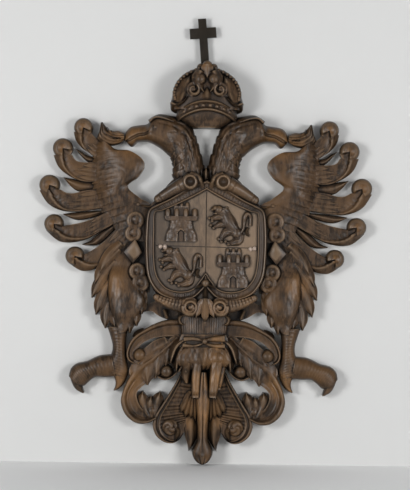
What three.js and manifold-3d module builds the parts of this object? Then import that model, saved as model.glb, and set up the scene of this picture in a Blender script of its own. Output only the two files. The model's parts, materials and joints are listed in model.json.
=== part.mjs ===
// Carved coat of arms: a double-headed eagle in relief with a crown, a laid-on quartered
// shield and a small flat cross. Millimetres, +Z up, the carved front faces -Y and the
// flat back lies on the plane Y = 0. The origin is on the back, behind the shield's top.
import * as THREE from 'three';
import { mergeVertices } from 'three/addons/utils/BufferGeometryUtils.js';
import Module from 'manifold-3d';

const wasm = await Module();
wasm.setup();

// The drawing: places on the front are [out, up] in squares, out from the centre line and
// up from the origin. The eagle's height, from tail tip to knob, sets the size of a square.
const eagleHeight = 904.5;
const drawnTop = 138;
const drawnFoot = -264;
const square = eagleHeight / (drawnTop - drawnFoot);

// Every thickness is measured from the flat back. The forms run a little behind it, and
// are sawn off flat there.
const sawnBehind = 6;

// The wing
const plumeEdge = 29;
const plumeRim = 35;
const plumeVane = 26;
const plumeRoot = 24;
const plumeBoss = 33;
const plumeHollow = 19;
const shortFeatherEdge = 16;
const shortFeatherRidge = 21;
const covertEdge = 24;
const covertCrest = 49;
const armEdge = 30;
const armCrest = 43;
const featherLift = 4.5;

// The heads, necks and breast
const beakCrest = 50;
const headCrest = 63;
const neckCrest = 55;
const neckEdge = 27;
const mouthDepth = 4;
const browEdge = 53;
const browCrest = 62;
const eyeCrest = 65;
const breastHeight = 42;

// The collar
const collarGround = 27;
const collarCrest = 44;
const collarHollow = 34;
const flintCrest = 47;
const flintEdge = 38;

// The legs
const thighEdge = 24;
const thighCrest = 56;
const tipEdge = 26;
const tipRidge = 36;
const shankEdge = 25;
const shankCrest = 42;
const footCrest = 43;
const scaleStep = 1.2;
const clawEdge = 22;
const clawCrest = 36;
const clawPoint = 28;

// The crown
const crownEdge = 40;
const crownLining = 78;
const crownRim = 96;
const crownRimBow = 20;
const crownDome = 88;
const crownTop = 66;
const sideArchCrest = 67;
const frontArchEdge = 70;
const frontArchCrest = 88;
const fleuronCrest = 74;
const crownLeafEdge = 60;
const crownLeafRidge = 80;
const teardropCrest = 86;
const middleLeafRidge = 92;
const knobCrest = 66;

// The tail
const tailGround = 24;
const strutCrest = 22;
const bandCrest = 46;
const bandRib = 2.5;
const beltCrest = 60;
const bowCrest = 65;
const fleeceEdge = 44;
const fleeceCrest = 76;
const lambEdge = 42;
const lambLeg = 62;
const lambHeadTop = 66;
const lambHeadTip = 56;
const stemEdge = 30;
const stemCrest = 52;
const stemFlute = 5;
const scrollFloor = 30;
const scrollRim = 41;
const innerScrollFloor = 28;
const innerScrollRim = 37;
const scrollBall = 43;
const scrollLeafEdge = 24;
const scrollLeafRidge = 36;
const ribbedFloor = 32;
const ribbedRim = 39;
const ribStep = 1.4;
const spearEdge = 33;
const spearRidge = 40;
const hangingRingCrest = 47;

// The shield, laid on a flat seat that is cut for it
const seatHeight = 38;
const fitGap = 0.3;
const seatClearance = 0.6;
const seatCutTop = 150;
const shieldShift = 2.2;
const fieldHeight = 53;
const frameFoot = 50;
const frameOuterBead = 66;
const frameHollow = 58;
const frameInnerBead = 63;
const chargeRise = 6;
const sunkIn = 2;
const fieldUnderFrame = 2;
const doorDepth = 5;
const upperScrollCrest = 83;
const upperScrollTip = 68;
const upperScrollEye = 66;
const voluteCrest = 80;
const voluteFloor = 70;
const voluteTubeCrest = 72;
const voluteTubeTip = 62;
const budCrest = 74;
const budLeafRidge = 70;
const flowerRidge = 66;
const flowerSideRidge = 62;

// The cross, let into the crown's knob
const crossWidth = 18.5;
const crossArmLength = 60;
const crossArmHeight = 23.5;
const crossAbove = 102;
const crossArmsUp = 57.5;
const crossThickness = 8;
const crossBack = 8;
const crossTenon = 14;
const crossLean = 4.7;
const crossOffset = -5;

// How finely round forms are cut into flat facets
const turnedSides = 7;
const smallSides = 6;
const smallRadius = 8.2;

// A line through places, as a function of a share
function line(...places) {
  const spline = new THREE.SplineCurve(places.map(([out, up]) => new THREE.Vector2(out, up)));
  return (share) => spline.getPoint(share);
}

// The same line moved sideways to its left by a width that may vary along it
function beside(edge, width) {
  const step = 0.002;
  return (share) => {
    const ahead = edge(Math.min(1, share + step));
    const behind = edge(Math.max(0, share - step));
    const run = ahead.sub(behind).normalize();
    return edge(share).add(new THREE.Vector2(-run.y, run.x).multiplyScalar(width(share)));
  };
}

// The same places with the last one moved straight on, or both ends, by an extra length
function reaching(places, extra) {
  const [before, last] = places.slice(-2).map(([out, up]) => new THREE.Vector2(out, up));
  const onward = last.clone().sub(before).setLength(extra);
  return [...places.slice(0, -1), last.add(onward).toArray()];
}

function reachingBothWays(places, extra) {
  return reaching(reaching(places, extra).reverse(), extra).reverse();
}

function mix(from, to, share) {
  return from + (to - from) * share;
}

// Heights across a strip: a round arch, and a roof with one ridge
function arch(edge, crest, across) {
  const side = 2 * across - 1;
  return mix(edge, crest, Math.sqrt(Math.max(0, 1 - side * side)));
}

function roof(edge, ridge, across) {
  return mix(ridge, edge, Math.abs(2 * across - 1));
}

// A height read off a row of heights spaced evenly along a strip
function heights(row, share) {
  const last = row.length - 1;
  const place = share * last;
  const index = Math.min(last - 1, Math.floor(place));
  return mix(row[index], row[index + 1], place - index);
}

// Feather tips over a swelling strip: the inner corners of its net stand up and sink in turn
function shingled(height, lift) {
  return (u, v, i, j) => height(u, v) + (v > 0 && v < 1 ? lift * ((i + j) % 2 ? 0.5 : -0.5) : 0);
}

// A closed solid from corner places and triangles, turned the right way out
function solidOf(corners, triangles) {
  let volume = 0;
  const at = (index) => new THREE.Vector3().fromArray(corners, 3 * index);
  for (let k = 0; k < triangles.length; k += 3) {
    volume += at(triangles[k]).dot(at(triangles[k + 1]).cross(at(triangles[k + 2])));
  }
  const facing = [...triangles];
  if (volume < 0) facing.reverse();
  return new wasm.Manifold(new wasm.Mesh({
    numProp: 3,
    vertProperties: Float32Array.from(corners),
    triVerts: Uint32Array.from(facing),
  }));
}

// Joins and cuts leave a few needle-thin facets. Corners nearer than a hair become one, and
// the long edge of a needle is turned the other way.
const hair = 0.05;
const needle = 0.01;

function altitude(corners, [a, b, c]) {
  const [p, q, r] = [corners[a], corners[b], corners[c]];
  const longest = Math.max(p.distanceTo(q), q.distanceTo(r), r.distanceTo(p));
  return q.clone().sub(p).cross(r.clone().sub(p)).length() / longest;
}

function neighbours(facets) {
  const around = new Map();
  for (const facet of facets) {
    for (const a of facet) {
      if (!around.has(a)) around.set(a, new Set());
      facet.filter((b) => b !== a).forEach((b) => around.get(a).add(b));
    }
  }
  return around;
}

// One corner takes the place of another where their edge is short and lies in two facets
function withoutShortEdges(corners, facets) {
  const around = neighbours(facets);
  const touched = new Set();
  const takenBy = new Map();
  for (const facet of facets) {
    for (let n = 0; n < 3; n += 1) {
      const [a, b] = [facet[n], facet[(n + 1) % 3]];
      if (corners[a].distanceTo(corners[b]) > hair) continue;
      const both = [...around.get(a)].filter((c) => around.get(b).has(c));
      const region = [a, b, ...around.get(a), ...around.get(b)];
      if (both.length !== 2 || region.some((c) => touched.has(c))) continue;
      region.forEach((c) => touched.add(c));
      takenBy.set(b, a);
    }
  }
  return facets
    .map((facet) => facet.map((a) => takenBy.get(a) ?? a))
    .filter(([a, b, c]) => a !== b && b !== c && c !== a);
}

function withoutNeedles(corners, facets) {
  const around = neighbours(facets);
  const facetOf = new Map();
  facets.forEach((facet, k) => facet.forEach((a, n) => facetOf.set(`${a} ${facet[(n + 1) % 3]}`, k)));
  const changed = [...facets];
  const touched = new Set();
  facets.forEach((facet, k) => {
    if (altitude(corners, facet) > needle) return;
    const length = (n) => corners[facet[n]].distanceTo(corners[facet[(n + 1) % 3]]);
    const n = [0, 1, 2].reduce((best, m) => (length(m) > length(best) ? m : best));
    const [p, q, r] = [facet[n], facet[(n + 1) % 3], facet[(n + 2) % 3]];
    const other = facetOf.get(`${q} ${p}`);
    const s = facets[other].find((a) => a !== p && a !== q);
    const turnedPair = [[p, s, r], [s, q, r]];
    const before = Math.min(altitude(corners, facet), altitude(corners, facets[other]));
    const after = Math.min(...turnedPair.map((pair) => altitude(corners, pair)));
    if (around.get(r).has(s) || after <= before || [p, q, r, s].some((a) => touched.has(a))) return;
    [p, q, r, s].forEach((a) => touched.add(a));
    [changed[k], changed[other]] = turnedPair;
  });
  return changed;
}

function tidied(solid) {
  const mesh = solid.getMesh();
  const corners = Array.from({ length: mesh.numVert }, (_, k) => (
    new THREE.Vector3().fromArray(mesh.vertProperties, 3 * k)));
  let facets = Array.from({ length: mesh.numTri }, (_, k) => [...mesh.triVerts.slice(3 * k, 3 * k + 3)]);
  for (let pass = 0; pass < 8; pass += 1) {
    facets = withoutNeedles(corners, withoutShortEdges(corners, facets));
  }
  return solidOf(corners.flatMap((corner) => corner.toArray()), facets.flat());
}

// The same solid with every corner moved
function reshaped(solid, move) {
  const mesh = solid.getMesh();
  const corners = [];
  for (let k = 0; k < mesh.vertProperties.length; k += 3) {
    corners.push(...move(...mesh.vertProperties.slice(k, k + 3)));
  }
  return solidOf(corners, [...mesh.triVerts]);
}

const mirrored = (solid) => reshaped(solid, (x, y, z) => [-x, y, z]);
const shifted = (solid, distance) => reshaped(solid, (x, y, z) => [x + distance, y, z]);
const joined = (solids) => solids.reduce((whole, solid) => whole.add(solid));

// A carved strip between two edges: a net of heights over the front, walls round it, and a
// flat back. The shares say where the net's lines lie across the strip.
function strip(edgeA, edgeB, along, shares, height) {
  const across = shares.length - 1;
  const corners = [];
  for (const front of [true, false]) {
    for (let i = 0; i <= along; i += 1) {
      const a = edgeA(i / along);
      const b = edgeB(i / along);
      for (let j = 0; j <= across; j += 1) {
        const place = a.clone().lerp(b, shares[j]).multiplyScalar(square);
        corners.push(place.x, front ? -height(i / along, shares[j], i, j) : sawnBehind, place.y);
      }
    }
  }
  const row = across + 1;
  const under = row * (along + 1);
  const triangles = [];
  const quad = (a, b, c, d) => triangles.push(a, b, c, a, c, d);
  for (let i = 0; i < along; i += 1) {
    for (let j = 0; j < across; j += 1) {
      const k = i * row + j;
      quad(k, k + 1, k + row + 1, k + row);
      quad(under + k, under + k + row, under + k + row + 1, under + k + 1);
    }
    const left = i * row;
    const right = left + across;
    quad(left, left + row, under + left + row, under + left);
    quad(right + row, right, under + right, under + right + row);
  }
  for (let j = 0; j < across; j += 1) {
    const last = along * row + j;
    quad(j + 1, j, under + j, under + j + 1);
    quad(last, last + 1, under + last + 1, under + last);
  }
  return solidOf(corners, triangles);
}

// Where a net's lines lie across a strip
const flat = [0, 1];
const roofed = [0, 0.5, 1];
const rounded = [0, 0.22, 0.78, 1];
const even = (count) => Array.from({ length: count + 1 }, (_, index) => index / count);

// A strip with a half width along a centre line
function rod(places, halfWidth, along, shares, height) {
  const centre = line(...places);
  const left = beside(centre, halfWidth);
  const right = beside(centre, (u) => -halfWidth(u));
  return strip(left, right, along, shares, height);
}

// A pointed leaf or feather with a ridge along its middle
function leaf(root, tip, halfWidth, edge, ridge, swell = 0) {
  const width = (u) => halfWidth * heights([0.65, 1, 0.12], u) + swell;
  const places = reachingBothWays([root, tip], swell);
  return rod(places, width, 2, roofed, (u, v) => roof(edge, ridge, v));
}

// A strip that runs across the centre line, from its right-hand edge
function acrossMiddle(levels, along, shares, height) {
  const right = line(...levels);
  const left = (share) => {
    const place = right(share);
    return new THREE.Vector2(-place.x, place.y);
  };
  return strip(left, right, along, shares, height);
}

// A solid from a closed three.js geometry whose shared corners are merged first
function fromGeometry(shape) {
  shape.deleteAttribute('normal');
  shape.deleteAttribute('uv');
  const merged = mergeVertices(shape, 1e-4);
  const triangles = [];
  for (let k = 0; k < merged.index.count; k += 3) {
    const [a, b, c] = [0, 1, 2].map((n) => merged.index.getX(k + n));
    if (a !== b && b !== c && c !== a) triangles.push(a, b, c);
  }
  return solidOf([...merged.attributes.position.array], triangles);
}

// A form turned about an axis that points out of the front: rings of [radius, height]
function turned([out, up], rings, sides = turnedSides) {
  const profile = rings.map(([radius, height]) => new THREE.Vector2(radius * square, height));
  profile.push(new THREE.Vector2(rings[rings.length - 1][0] * square, -sawnBehind));
  profile.push(new THREE.Vector2(0, -sawnBehind));
  const shape = new THREE.LatheGeometry(profile, sides);
  shape.rotateX(Math.PI);
  shape.translate(out * square, 0, up * square);
  return fromGeometry(shape);
}

function domeRings(radius, crest) {
  const flatness = 0.8;
  return [0, 0.6, 1].map((share) => {
    const drop = 1 - Math.sqrt(1 - share * share);
    return [radius * share, crest - radius * square * flatness * drop];
  });
}

function ball(place, radius, crest) {
  const sides = radius < smallRadius ? smallSides : turnedSides;
  return turned(place, domeRings(radius, crest), sides);
}

// A ring carved as a round rim about a dimple
function ring(place, radius, crest, hollow) {
  const rings = [[0, hollow], [0.7 * radius, crest], [radius, mix(hollow, crest, 0.4)]];
  return turned(place, rings, smallSides);
}

// A block with upright sides round an outline of places
function block(outline, crest, base = -sawnBehind) {
  const corners = outline.map(([out, up]) => new THREE.Vector2(out * square, up * square));
  const shape = { depth: crest - base, bevelEnabled: false };
  const solid = new THREE.ExtrudeGeometry(new THREE.Shape(corners), shape);
  solid.rotateX(Math.PI / 2);
  solid.translate(0, -base, 0);
  return fromGeometry(solid);
}

// The solid cut off flat at a level, with everything behind it gone
function sawnFlat(solid, level) {
  const wide = 2 * (drawnTop - drawnFoot);
  const waste = block([[-wide, -wide], [wide, -wide], [wide, wide], [-wide, wide]], level, -2 * sawnBehind);
  return solid.subtract(waste);
}

// Wing plumes: a hollow vane, a rolled rim along the outer edge and a snail curl at the end
const plumes = [
  {
    outer: [[104, 36], [117, 45.5], [125, 51], [131, 58.5], [133.3, 67]],
    vane: [[100, 54], [105, 58], [110, 60.5], [114, 64], [117, 68]],
    curl: [123.5, 71.5],
    radius: 9.5,
  },
  {
    outer: [[104, 18], [122, 17], [137, 22.5], [148, 31.5], [153.3, 43.5]],
    vane: [[106, 38], [118, 36.5], [127, 37], [132, 39.5], [135, 44]],
    curl: [144, 50.5],
    radius: 10,
  },
  {
    outer: [[102, -9], [123, -12.5], [143, -12.5], [158, -5.5], [167, 8]],
    vane: [[106, 10], [122, 8], [133, 5.3], [140, 5.8], [146, 9]],
    curl: [157, 13.5],
    radius: 10.5,
  },
  {
    outer: [[86, -21], [104, -32], [123, -42], [145, -43.5], [160, -32]],
    vane: [[98, -12], [111, -19], [123, -23.5], [134, -26], [142, -27.5]],
    curl: [152, -25.5],
    radius: 9.7,
  },
  {
    outer: [[70, -36], [85, -55], [104, -68], [123, -72.5], [138.5, -63]],
    vane: [[84, -24], [94, -36], [104, -45], [112.5, -51], [120, -55.5]],
    curl: [130.5, -57.5],
    radius: 9.5,
  },
];

function plume({ outer, vane, curl, radius }) {
  const profile = [plumeEdge, plumeRim, plumeVane];
  const rise = (u) => Math.min(1, mix(0.3, 1.7, u));
  const height = (u, v, i, j) => mix(plumeRoot, profile[j], rise(u));
  const rings = [[0, plumeBoss], [0.5 * radius, plumeHollow], [0.88 * radius, plumeRim], [radius, plumeEdge]];
  return [
    strip(line(...outer), line(...vane), outer.length - 1, [0, 0.17, 1], height),
    turned(curl, rings),
  ];
}

// Short pointed feathers that show between the plumes: upper and lower edge from the root
const shortFeathers = [
  {
    upper: [[104, 44], [118, 43], [126, 48], [131.5, 50.5]],
    lower: [[104, 34], [117, 36], [124, 41], [131, 49.5]],
  },
  {
    upper: [[104, 18], [120, 18], [134, 20], [143.5, 21.5]],
    lower: [[104, 8], [126, 7], [136, 12.5], [143, 20.5]],
  },
  {
    upper: [[98, -11], [120, -12.5], [134, -14], [143, -15.5]],
    lower: [[90, -10], [108, -17], [128, -21.5], [142.5, -16.5]],
  },
  {
    upper: [[88, -22], [105, -33], [115, -41.5], [123.5, -45.5]],
    lower: [[78, -21], [90, -30], [107, -45.5], [123, -46.5]],
  },
];

function shortFeather({ upper, lower }) {
  const height = (u, v) => roof(shortFeatherEdge, shortFeatherRidge, v);
  return strip(line(...upper), line(...lower), 2, roofed, height);
}

// The shoulder and coverts: one swelling mass from the arm down to behind the shield
const covertOuter = line([107, 66], [111, 52], [112.5, 42], [113, 32], [113, 22], [112, 12],
  [110, 2], [105, -9], [97, -20], [88, -31], [78, -42]);
const covertInner = line([99, 57], [91, 50], [77, 48.7], [64.5, 41], [62, 32.5], [68, 22.5],
  [78.5, 13], [66, 1.5], [55, -6], [55, -25], [55, -42]);

// The mass is thickest near its inner edge and falls away towards the plumes
function covertHeight(u, v) {
  const swell = mix(0.55, 1, Math.sin(Math.PI * Math.min(1, u * 1.1)));
  const slope = Math.sin(Math.PI * Math.min(1, (1 - v) / 1.35)) ** 0.9;
  return mix(covertEdge, covertCrest, swell * slope);
}

function wing() {
  const arm = strip(
    line([104.5, 77], [102, 74], [99, 70.5], [94, 68.7], [88, 68.4], [82.6, 66]),
    line([106, 76], [107.5, 68], [109, 60], [98, 54], [88, 55.5], [82, 59]),
    4, roofed, (u, v) => arch(armEdge, armCrest, v));
  return [
    ...plumes.flatMap(plume),
    ...shortFeathers.map(shortFeather),
    strip(covertInner, covertOuter, 10, even(4), shingled(covertHeight, featherLift)),
    arm,
  ];
}

// A head and neck: one edge runs from the beak over the brow and down the nape, the other
// under the beak and down the throat
const nape = line([82, 60.5], [81, 67], [76, 72.5], [67, 74.5], [59, 76], [54, 83], [47, 86],
  [37, 84.5], [26, 82], [16, 75], [10.5, 65], [7, 55], [3, 41], [0, 28], [0, 12]);
const throat = line([80, 57], [76.5, 53.5], [73.5, 53.5], [69, 57.5], [63, 58.5], [57, 57.5],
  [50, 54], [44, 50], [39.5, 46], [36.5, 42], [35, 37], [34, 32], [34.5, 26], [33, 20], [24, 10]);
const beakShare = 0.33;
const featheredFrom = 0.4;
const mouthAcross = 0.6;

function neckHeight(u, v) {
  const crests = [beakCrest - 6, beakCrest, beakCrest + 2, headCrest, headCrest, neckCrest + 2,
    neckCrest, neckCrest, neckCrest - 4];
  const mouth = u < beakShare && v === mouthAcross ? mouthDepth : 0;
  return arch(neckEdge, heights(crests, u), v) - mouth;
}

function head() {
  const feathered = shingled(neckHeight, featherLift);
  return [
    strip(nape, throat, 13, [0, 0.18, 0.45, mouthAcross, 1],
      (u, v, i, j) => (u > featheredFrom ? feathered(u, v, i, j) : neckHeight(u, v))),
    rod([[57, 77.5], [51, 82], [42, 81], [33, 78]], (u) => mix(2.6, 1.4, u), 3, roofed,
      (u, v) => arch(browEdge, browCrest, v)),
    ball([50.5, 73], 2.6, eyeCrest),
  ];
}

// The breast behind the shield
function breast() {
  return acrossMiddle([[1, 31], [20, 26], [33, 20], [48, 2], [56, -8], [60, -30], [60, -60],
    [56, -80], [47, -96], [34, -104], [22, -110]], 10, flat, () => breastHeight);
}

// The collar's links between wing and shield: round steels and a cut flint on a flat ground
function collar() {
  const inner = line([55, -4], [55, -40], [55, -93]);
  const outer = line([80, -8], [80, -42], [60, -94]);
  return [
    strip(inner, outer, 2, flat, () => collarGround),
    rod([[86, -2], [70, -5]], () => 2.1, 1, roofed, (u, v) => arch(collarHollow, collarCrest, v)),
    ring([70, -22], 8, collarCrest, collarHollow),
    ring([72, -33.5], 7, collarCrest, collarHollow),
    turned([70, -53], [[0, flintCrest], [9, flintEdge]], 5),
    ring([67, -72.5], 7.2, collarCrest, collarHollow),
    ring([63.5, -83.5], 7.4, collarCrest, collarHollow),
  ];
}

// Thigh, shank and clawed foot
const thighOuter = line([88, -48], [98, -62], [106, -76], [111, -90], [112, -104], [107.5, -117],
  [101, -127], [95, -134]);
const thighInner = line([64, -48], [72, -62], [74, -76], [62, -91], [58.5, -104], [65, -116],
  [71, -126], [78, -133]);
const thighTips = [
  [[99, -72], [111, -84.5]],
  [[102, -85], [114, -99.5]],
  [[101, -101], [111.5, -116]],
  [[95, -115], [103.5, -130.5]],
];

function thighHeight(u, v) {
  const crests = [thighCrest - 24, thighCrest - 12, thighCrest - 2, thighCrest, thighCrest,
    thighCrest - 6, shankCrest + 2];
  return arch(thighEdge, heights(crests, u), v);
}

function leg() {
  const scaly = (crest) => (u, v, i) => arch(shankEdge, crest + (i % 2 ? scaleStep : -scaleStep), v);
  const hooked = (u, v) => arch(clawEdge, mix(clawCrest, clawPoint, u), v);
  const shank = strip(
    line([97, -128], [93, -140], [91.5, -148], [93, -156], [99, -164], [100, -172]),
    line([76, -128], [78, -140], [78, -151], [77, -162], [75, -172], [78, -178]),
    5, rounded, scaly(shankCrest));
  const toe = strip(
    line([92, -156], [105, -157.5], [117, -163], [127, -165.5], [133, -170.5], [135, -178]),
    line([88, -178], [99, -179], [108, -179], [114, -183], [119, -187.5], [124, -188]),
    5, rounded, scaly(footCrest));
  const claw = strip(
    line([135, -176], [132, -185], [128.5, -191], [124, -194], [120.5, -195.5]),
    line([122, -186], [121.5, -188.5], [121, -190], [120.5, -192], [119.5, -194.5]),
    3, roofed, hooked);
  const spur = strip(
    line([93, -172], [89, -180], [88, -184], [88.5, -188], [90, -191.5]),
    line([74, -172], [78, -182], [81, -187], [85, -190.5], [89, -192.5]),
    3, roofed, hooked);
  return [
    strip(thighOuter, thighInner, 9, even(4), shingled(thighHeight, featherLift)),
    ...thighTips.map(([root, tip]) => leaf(root, tip, 5.5, tipEdge, tipRidge)),
    shank,
    toe,
    claw,
    spur,
  ];
}

// The crown's rim: rows from below, [level, depth behind the rim], bowing up in the middle
const rimRows = [[86, 9], [88.5, 0], [92.5, 6], [96.5, 1], [99, 9]];
const rimHalfWidth = 34;
const rimTaper = 1.6;

function crownRimBand() {
  const last = rimRows.length - 1;
  const edge = (side) => (share) => {
    const level = rimRows[Math.round(share * last)][0];
    return new THREE.Vector2(side * (rimHalfWidth - rimTaper * Math.abs(2 * share - 1)), level);
  };
  const height = (u, v, i) => arch(crownEdge, crownRim - rimRows[i][1], v);
  const straight = strip(edge(-1), edge(1), last, even(6), height);
  const sag = (x) => crownRimBow * (x / (rimHalfWidth * square)) ** 2;
  return reshaped(straight, (x, y, z) => [x, y, z - sag(x)]);
}

function crown() {
  const lining = acrossMiddle([[14, 72], [23, 77.5], [28.5, 82.5], [31, 90]], 2, even(4),
    (u, v) => arch(crownEdge, mix(crownLining - 12, crownLining, u), v));
  const domeRow = [crownDome, crownDome - 4, crownDome - 10, crownTop];
  const dome = acrossMiddle([[33, 90], [34, 103], [31.5, 113], [27, 119], [19, 126], [8, 131]],
    4, even(4), (u, v) => arch(crownEdge, heights(domeRow, u), v));
  const side = [
    rod([[29, 98], [31, 107], [27.5, 117], [19, 125], [7, 130]], () => 2.6, 5, roofed,
      (u, v) => arch(crownEdge, mix(sideArchCrest - 5, sideArchCrest + 5, u), v)),
    rod([[22, 97], [20, 104], [14.5, 109], [11, 106]], () => 1.8, 3, roofed,
      (u, v) => arch(frontArchEdge, frontArchCrest, v)),
    ball([7, 119.5], 4.6, teardropCrest),
    leaf([26, 94], [36.5, 97], 6.5, crownEdge, fleuronCrest),
    leaf([25, 95], [28, 108], 4.5, crownLeafEdge, crownLeafRidge),
    ball([8, 133], 4.2, knobCrest - 2),
  ];
  return [
    lining,
    crownRimBand(),
    dome,
    leaf([0, 96], [0, 112], 6, crownLeafRidge, middleLeafRidge),
    ball([0, 127], 4.6, teardropCrest - 2),
    ball([0, 133.5], 5.5, knobCrest),
    ...side,
    ...side.map(mirrored),
  ];
}

// A tail scroll: a rolled rim along its outer edge and a hollow floor
function scrollBand(outer, inner, along, floor, rim) {
  const profile = [rim - 3, rim, floor, floor + 2];
  const height = (u, v, i, j) => profile[j];
  return strip(line(...outer), line(...inner), along, [0, 0.14, 0.36, 1], height);
}

// The scrolls on one side of the tail
function scrolls() {
  const upper = scrollBand(
    [[18, -120], [36, -120.5], [49, -124.5], [60, -130.5], [69, -136.5], [75, -145],
      [77.5, -155], [75, -162], [68, -165.5]],
    [[18, -136], [32, -136.5], [44, -137.5], [54, -140], [61, -144], [66, -149],
      [69.5, -153], [69.5, -157], [65, -162]],
    6, scrollFloor, scrollRim - 2);
  const inner = scrollBand(
    [[17, -144], [20, -160], [24, -170.5], [30, -177.5], [38, -181], [46, -178.5]],
    [[24, -144], [26, -158], [28.5, -166], [32, -171], [38, -173.5], [43, -172]],
    3, innerScrollFloor, innerScrollRim);
  const acanthus = scrollBand(
    [[27, -137], [41, -149], [54, -160], [67, -168.5], [75.5, -181], [81, -194], [82, -205],
      [77, -216.5], [67, -224], [56, -224.5], [47, -220]],
    [[20, -147], [30, -157], [40, -166], [49, -178], [60, -186.5], [66, -193], [66, -200],
      [63, -207], [59, -211], [53, -212], [46, -211]],
    8, scrollFloor, scrollRim);
  const endLeaf = strip(
    line([61.5, -193], [54, -194.5], [47, -197], [42.5, -191.5]),
    line([63, -207], [57, -213], [49, -216], [41, -209]),
    4, flat, (u, v, i) => scrollFloor + (i % 2 ? 3 : -2));
  return [
    upper,
    ball([64, -156], 7, scrollBall),
    leaf([60, -131], [71.5, -137.5], 3.2, scrollLeafEdge, scrollLeafRidge),
    inner,
    ball([37, -172], 6.8, scrollBall),
    acanthus,
    leaf([62, -176], [59, -191], 6, scrollLeafEdge, scrollLeafRidge),
    leaf([54, -170], [47, -182], 6, scrollLeafEdge, scrollLeafRidge),
    endLeaf,
  ];
}

// The ribbed scroll below them, and the pointed leaves beside the stem
const ribbedUntil = 0.6;
const spearTips = [[22, -213], [17.5, -217.5], [12, -219], [7, -221]];

function lowerLeaves() {
  const ribHeight = (u, i) => ribbedFloor + (i % 2 && u < ribbedUntil ? ribStep : -ribStep);
  const ribbed = strip(
    line([22, -172], [28, -184], [34, -194], [42, -207], [48, -217], [50, -227], [46.5, -236.5],
      [39, -242.5], [31, -244], [24, -241], [19, -234]),
    line([6, -176], [7, -187], [8, -196], [10, -205], [13, -212], [15, -218], [17, -223],
      [18, -227], [18.5, -229], [18.5, -231], [18, -232]),
    11, [0, 0.14, 1], (u, v, i, j) => (j === 0 ? ribbedRim : ribHeight(u, i)));
  const ribbedEnd = rod([[30, -217], [36, -226], [33, -236], [25, -236], [24, -229]],
    (u) => mix(4, 2.4, u), 4, roofed, (u, v) => arch(ribbedFloor - 2, ribbedRim, v));
  const stemLeaf = strip(
    line([17, -216], [18.5, -226], [17.5, -237], [15, -245], [14, -252]),
    line([5, -216], [5, -225], [5, -234], [7, -242], [12.5, -250]),
    4, roofed, (u, v) => roof(scrollLeafEdge, scrollLeafRidge, v));
  const spears = spearTips.map((tip) => {
    const root = [mix(tip[0], 8, 0.75), -194];
    return leaf(root, tip, 3.4, spearEdge, spearRidge);
  });
  return [ribbed, ribbedEnd, stemLeaf, ...spears];
}

// One side of the tail, with the strut that ties it to the thigh and a small hanging ring
function tailSide() {
  const strut = strip(
    line([62, -107], [52, -103.5], [42, -98], [26, -98]),
    line([66, -115], [54, -112], [43, -118], [26, -124]),
    2, flat, () => strutCrest);
  const hangingRing = ring([20, -120], 7, hangingRingCrest, collarHollow);
  return [strut, ...scrolls(), ...lowerLeaves(), hangingRing];
}

// The hanging lamb: a fleece slung over the belt, legs and a drooping head
function lamb() {
  const limb = (places, from, to, crest) => rod(places, (u) => mix(from, to, u), 2, roofed,
    (u, v) => arch(lambEdge, crest, v));
  const fleece = acrossMiddle([[19, -145], [23.5, -151], [24, -158], [21, -165], [12, -170]],
    3, even(6), (u, v) => arch(fleeceEdge, fleeceCrest, v) - 5 * Math.abs(2 * u - 1));
  const droopingHead = strip(
    line([-22, -160], [-23, -168], [-22, -177], [-19, -183]),
    line([-9, -164], [-11, -171], [-13, -178], [-14, -183]),
    3, even(4), (u, v) => arch(lambEdge - 2, mix(lambHeadTop, lambHeadTip, u), v));
  return [
    fleece,
    limb([[-6, -164], [-6.5, -180], [-7.5, -199]], 3.4, 2.8, lambLeg),
    limb([[10, -160], [10.5, -178], [9, -198]], 3.4, 2.8, lambLeg),
    limb([[18, -158], [16.5, -176], [11.5, -199]], 4.4, 2.6, lambLeg - 4),
    droopingHead,
  ];
}

// The tail's middle: its ground, a ribbed band, the belt with its knot, the stem and bulb
function tailMiddle() {
  const ground = acrossMiddle([[30, -96], [24, -110], [24, -140], [22, -165], [14, -185],
    [10, -205], [7, -225], [6, -240]], 4, flat, () => tailGround);
  const band = acrossMiddle([[24, -116], [22.5, -136]], 1, even(12),
    (u, v, i, j) => bandCrest + (j % 2 ? bandRib : 0));
  const beltRow = [beltCrest - 12, beltCrest, beltCrest - 3, beltCrest - 12];
  const belt = acrossMiddle([[24, -137], [25, -141], [25, -146], [23.5, -150]], 3, roofed,
    (u, v, i) => beltRow[i]);
  const stem = acrossMiddle([[7, -198], [6.5, -208], [5.5, -221], [5, -232], [5.5, -240],
    [8, -246], [10.3, -252], [9, -257.5], [5.5, -262], [1.5, drawnFoot]], 8, [0, 0.3, 0.5, 0.7, 1],
  (u, v, i, j) => arch(stemEdge, stemCrest, v) - (j === 2 ? stemFlute : 0));
  return [ground, band, belt, ball([-1, -141.5], 4, bowCrest), stem, ...lamb()];
}

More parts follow.
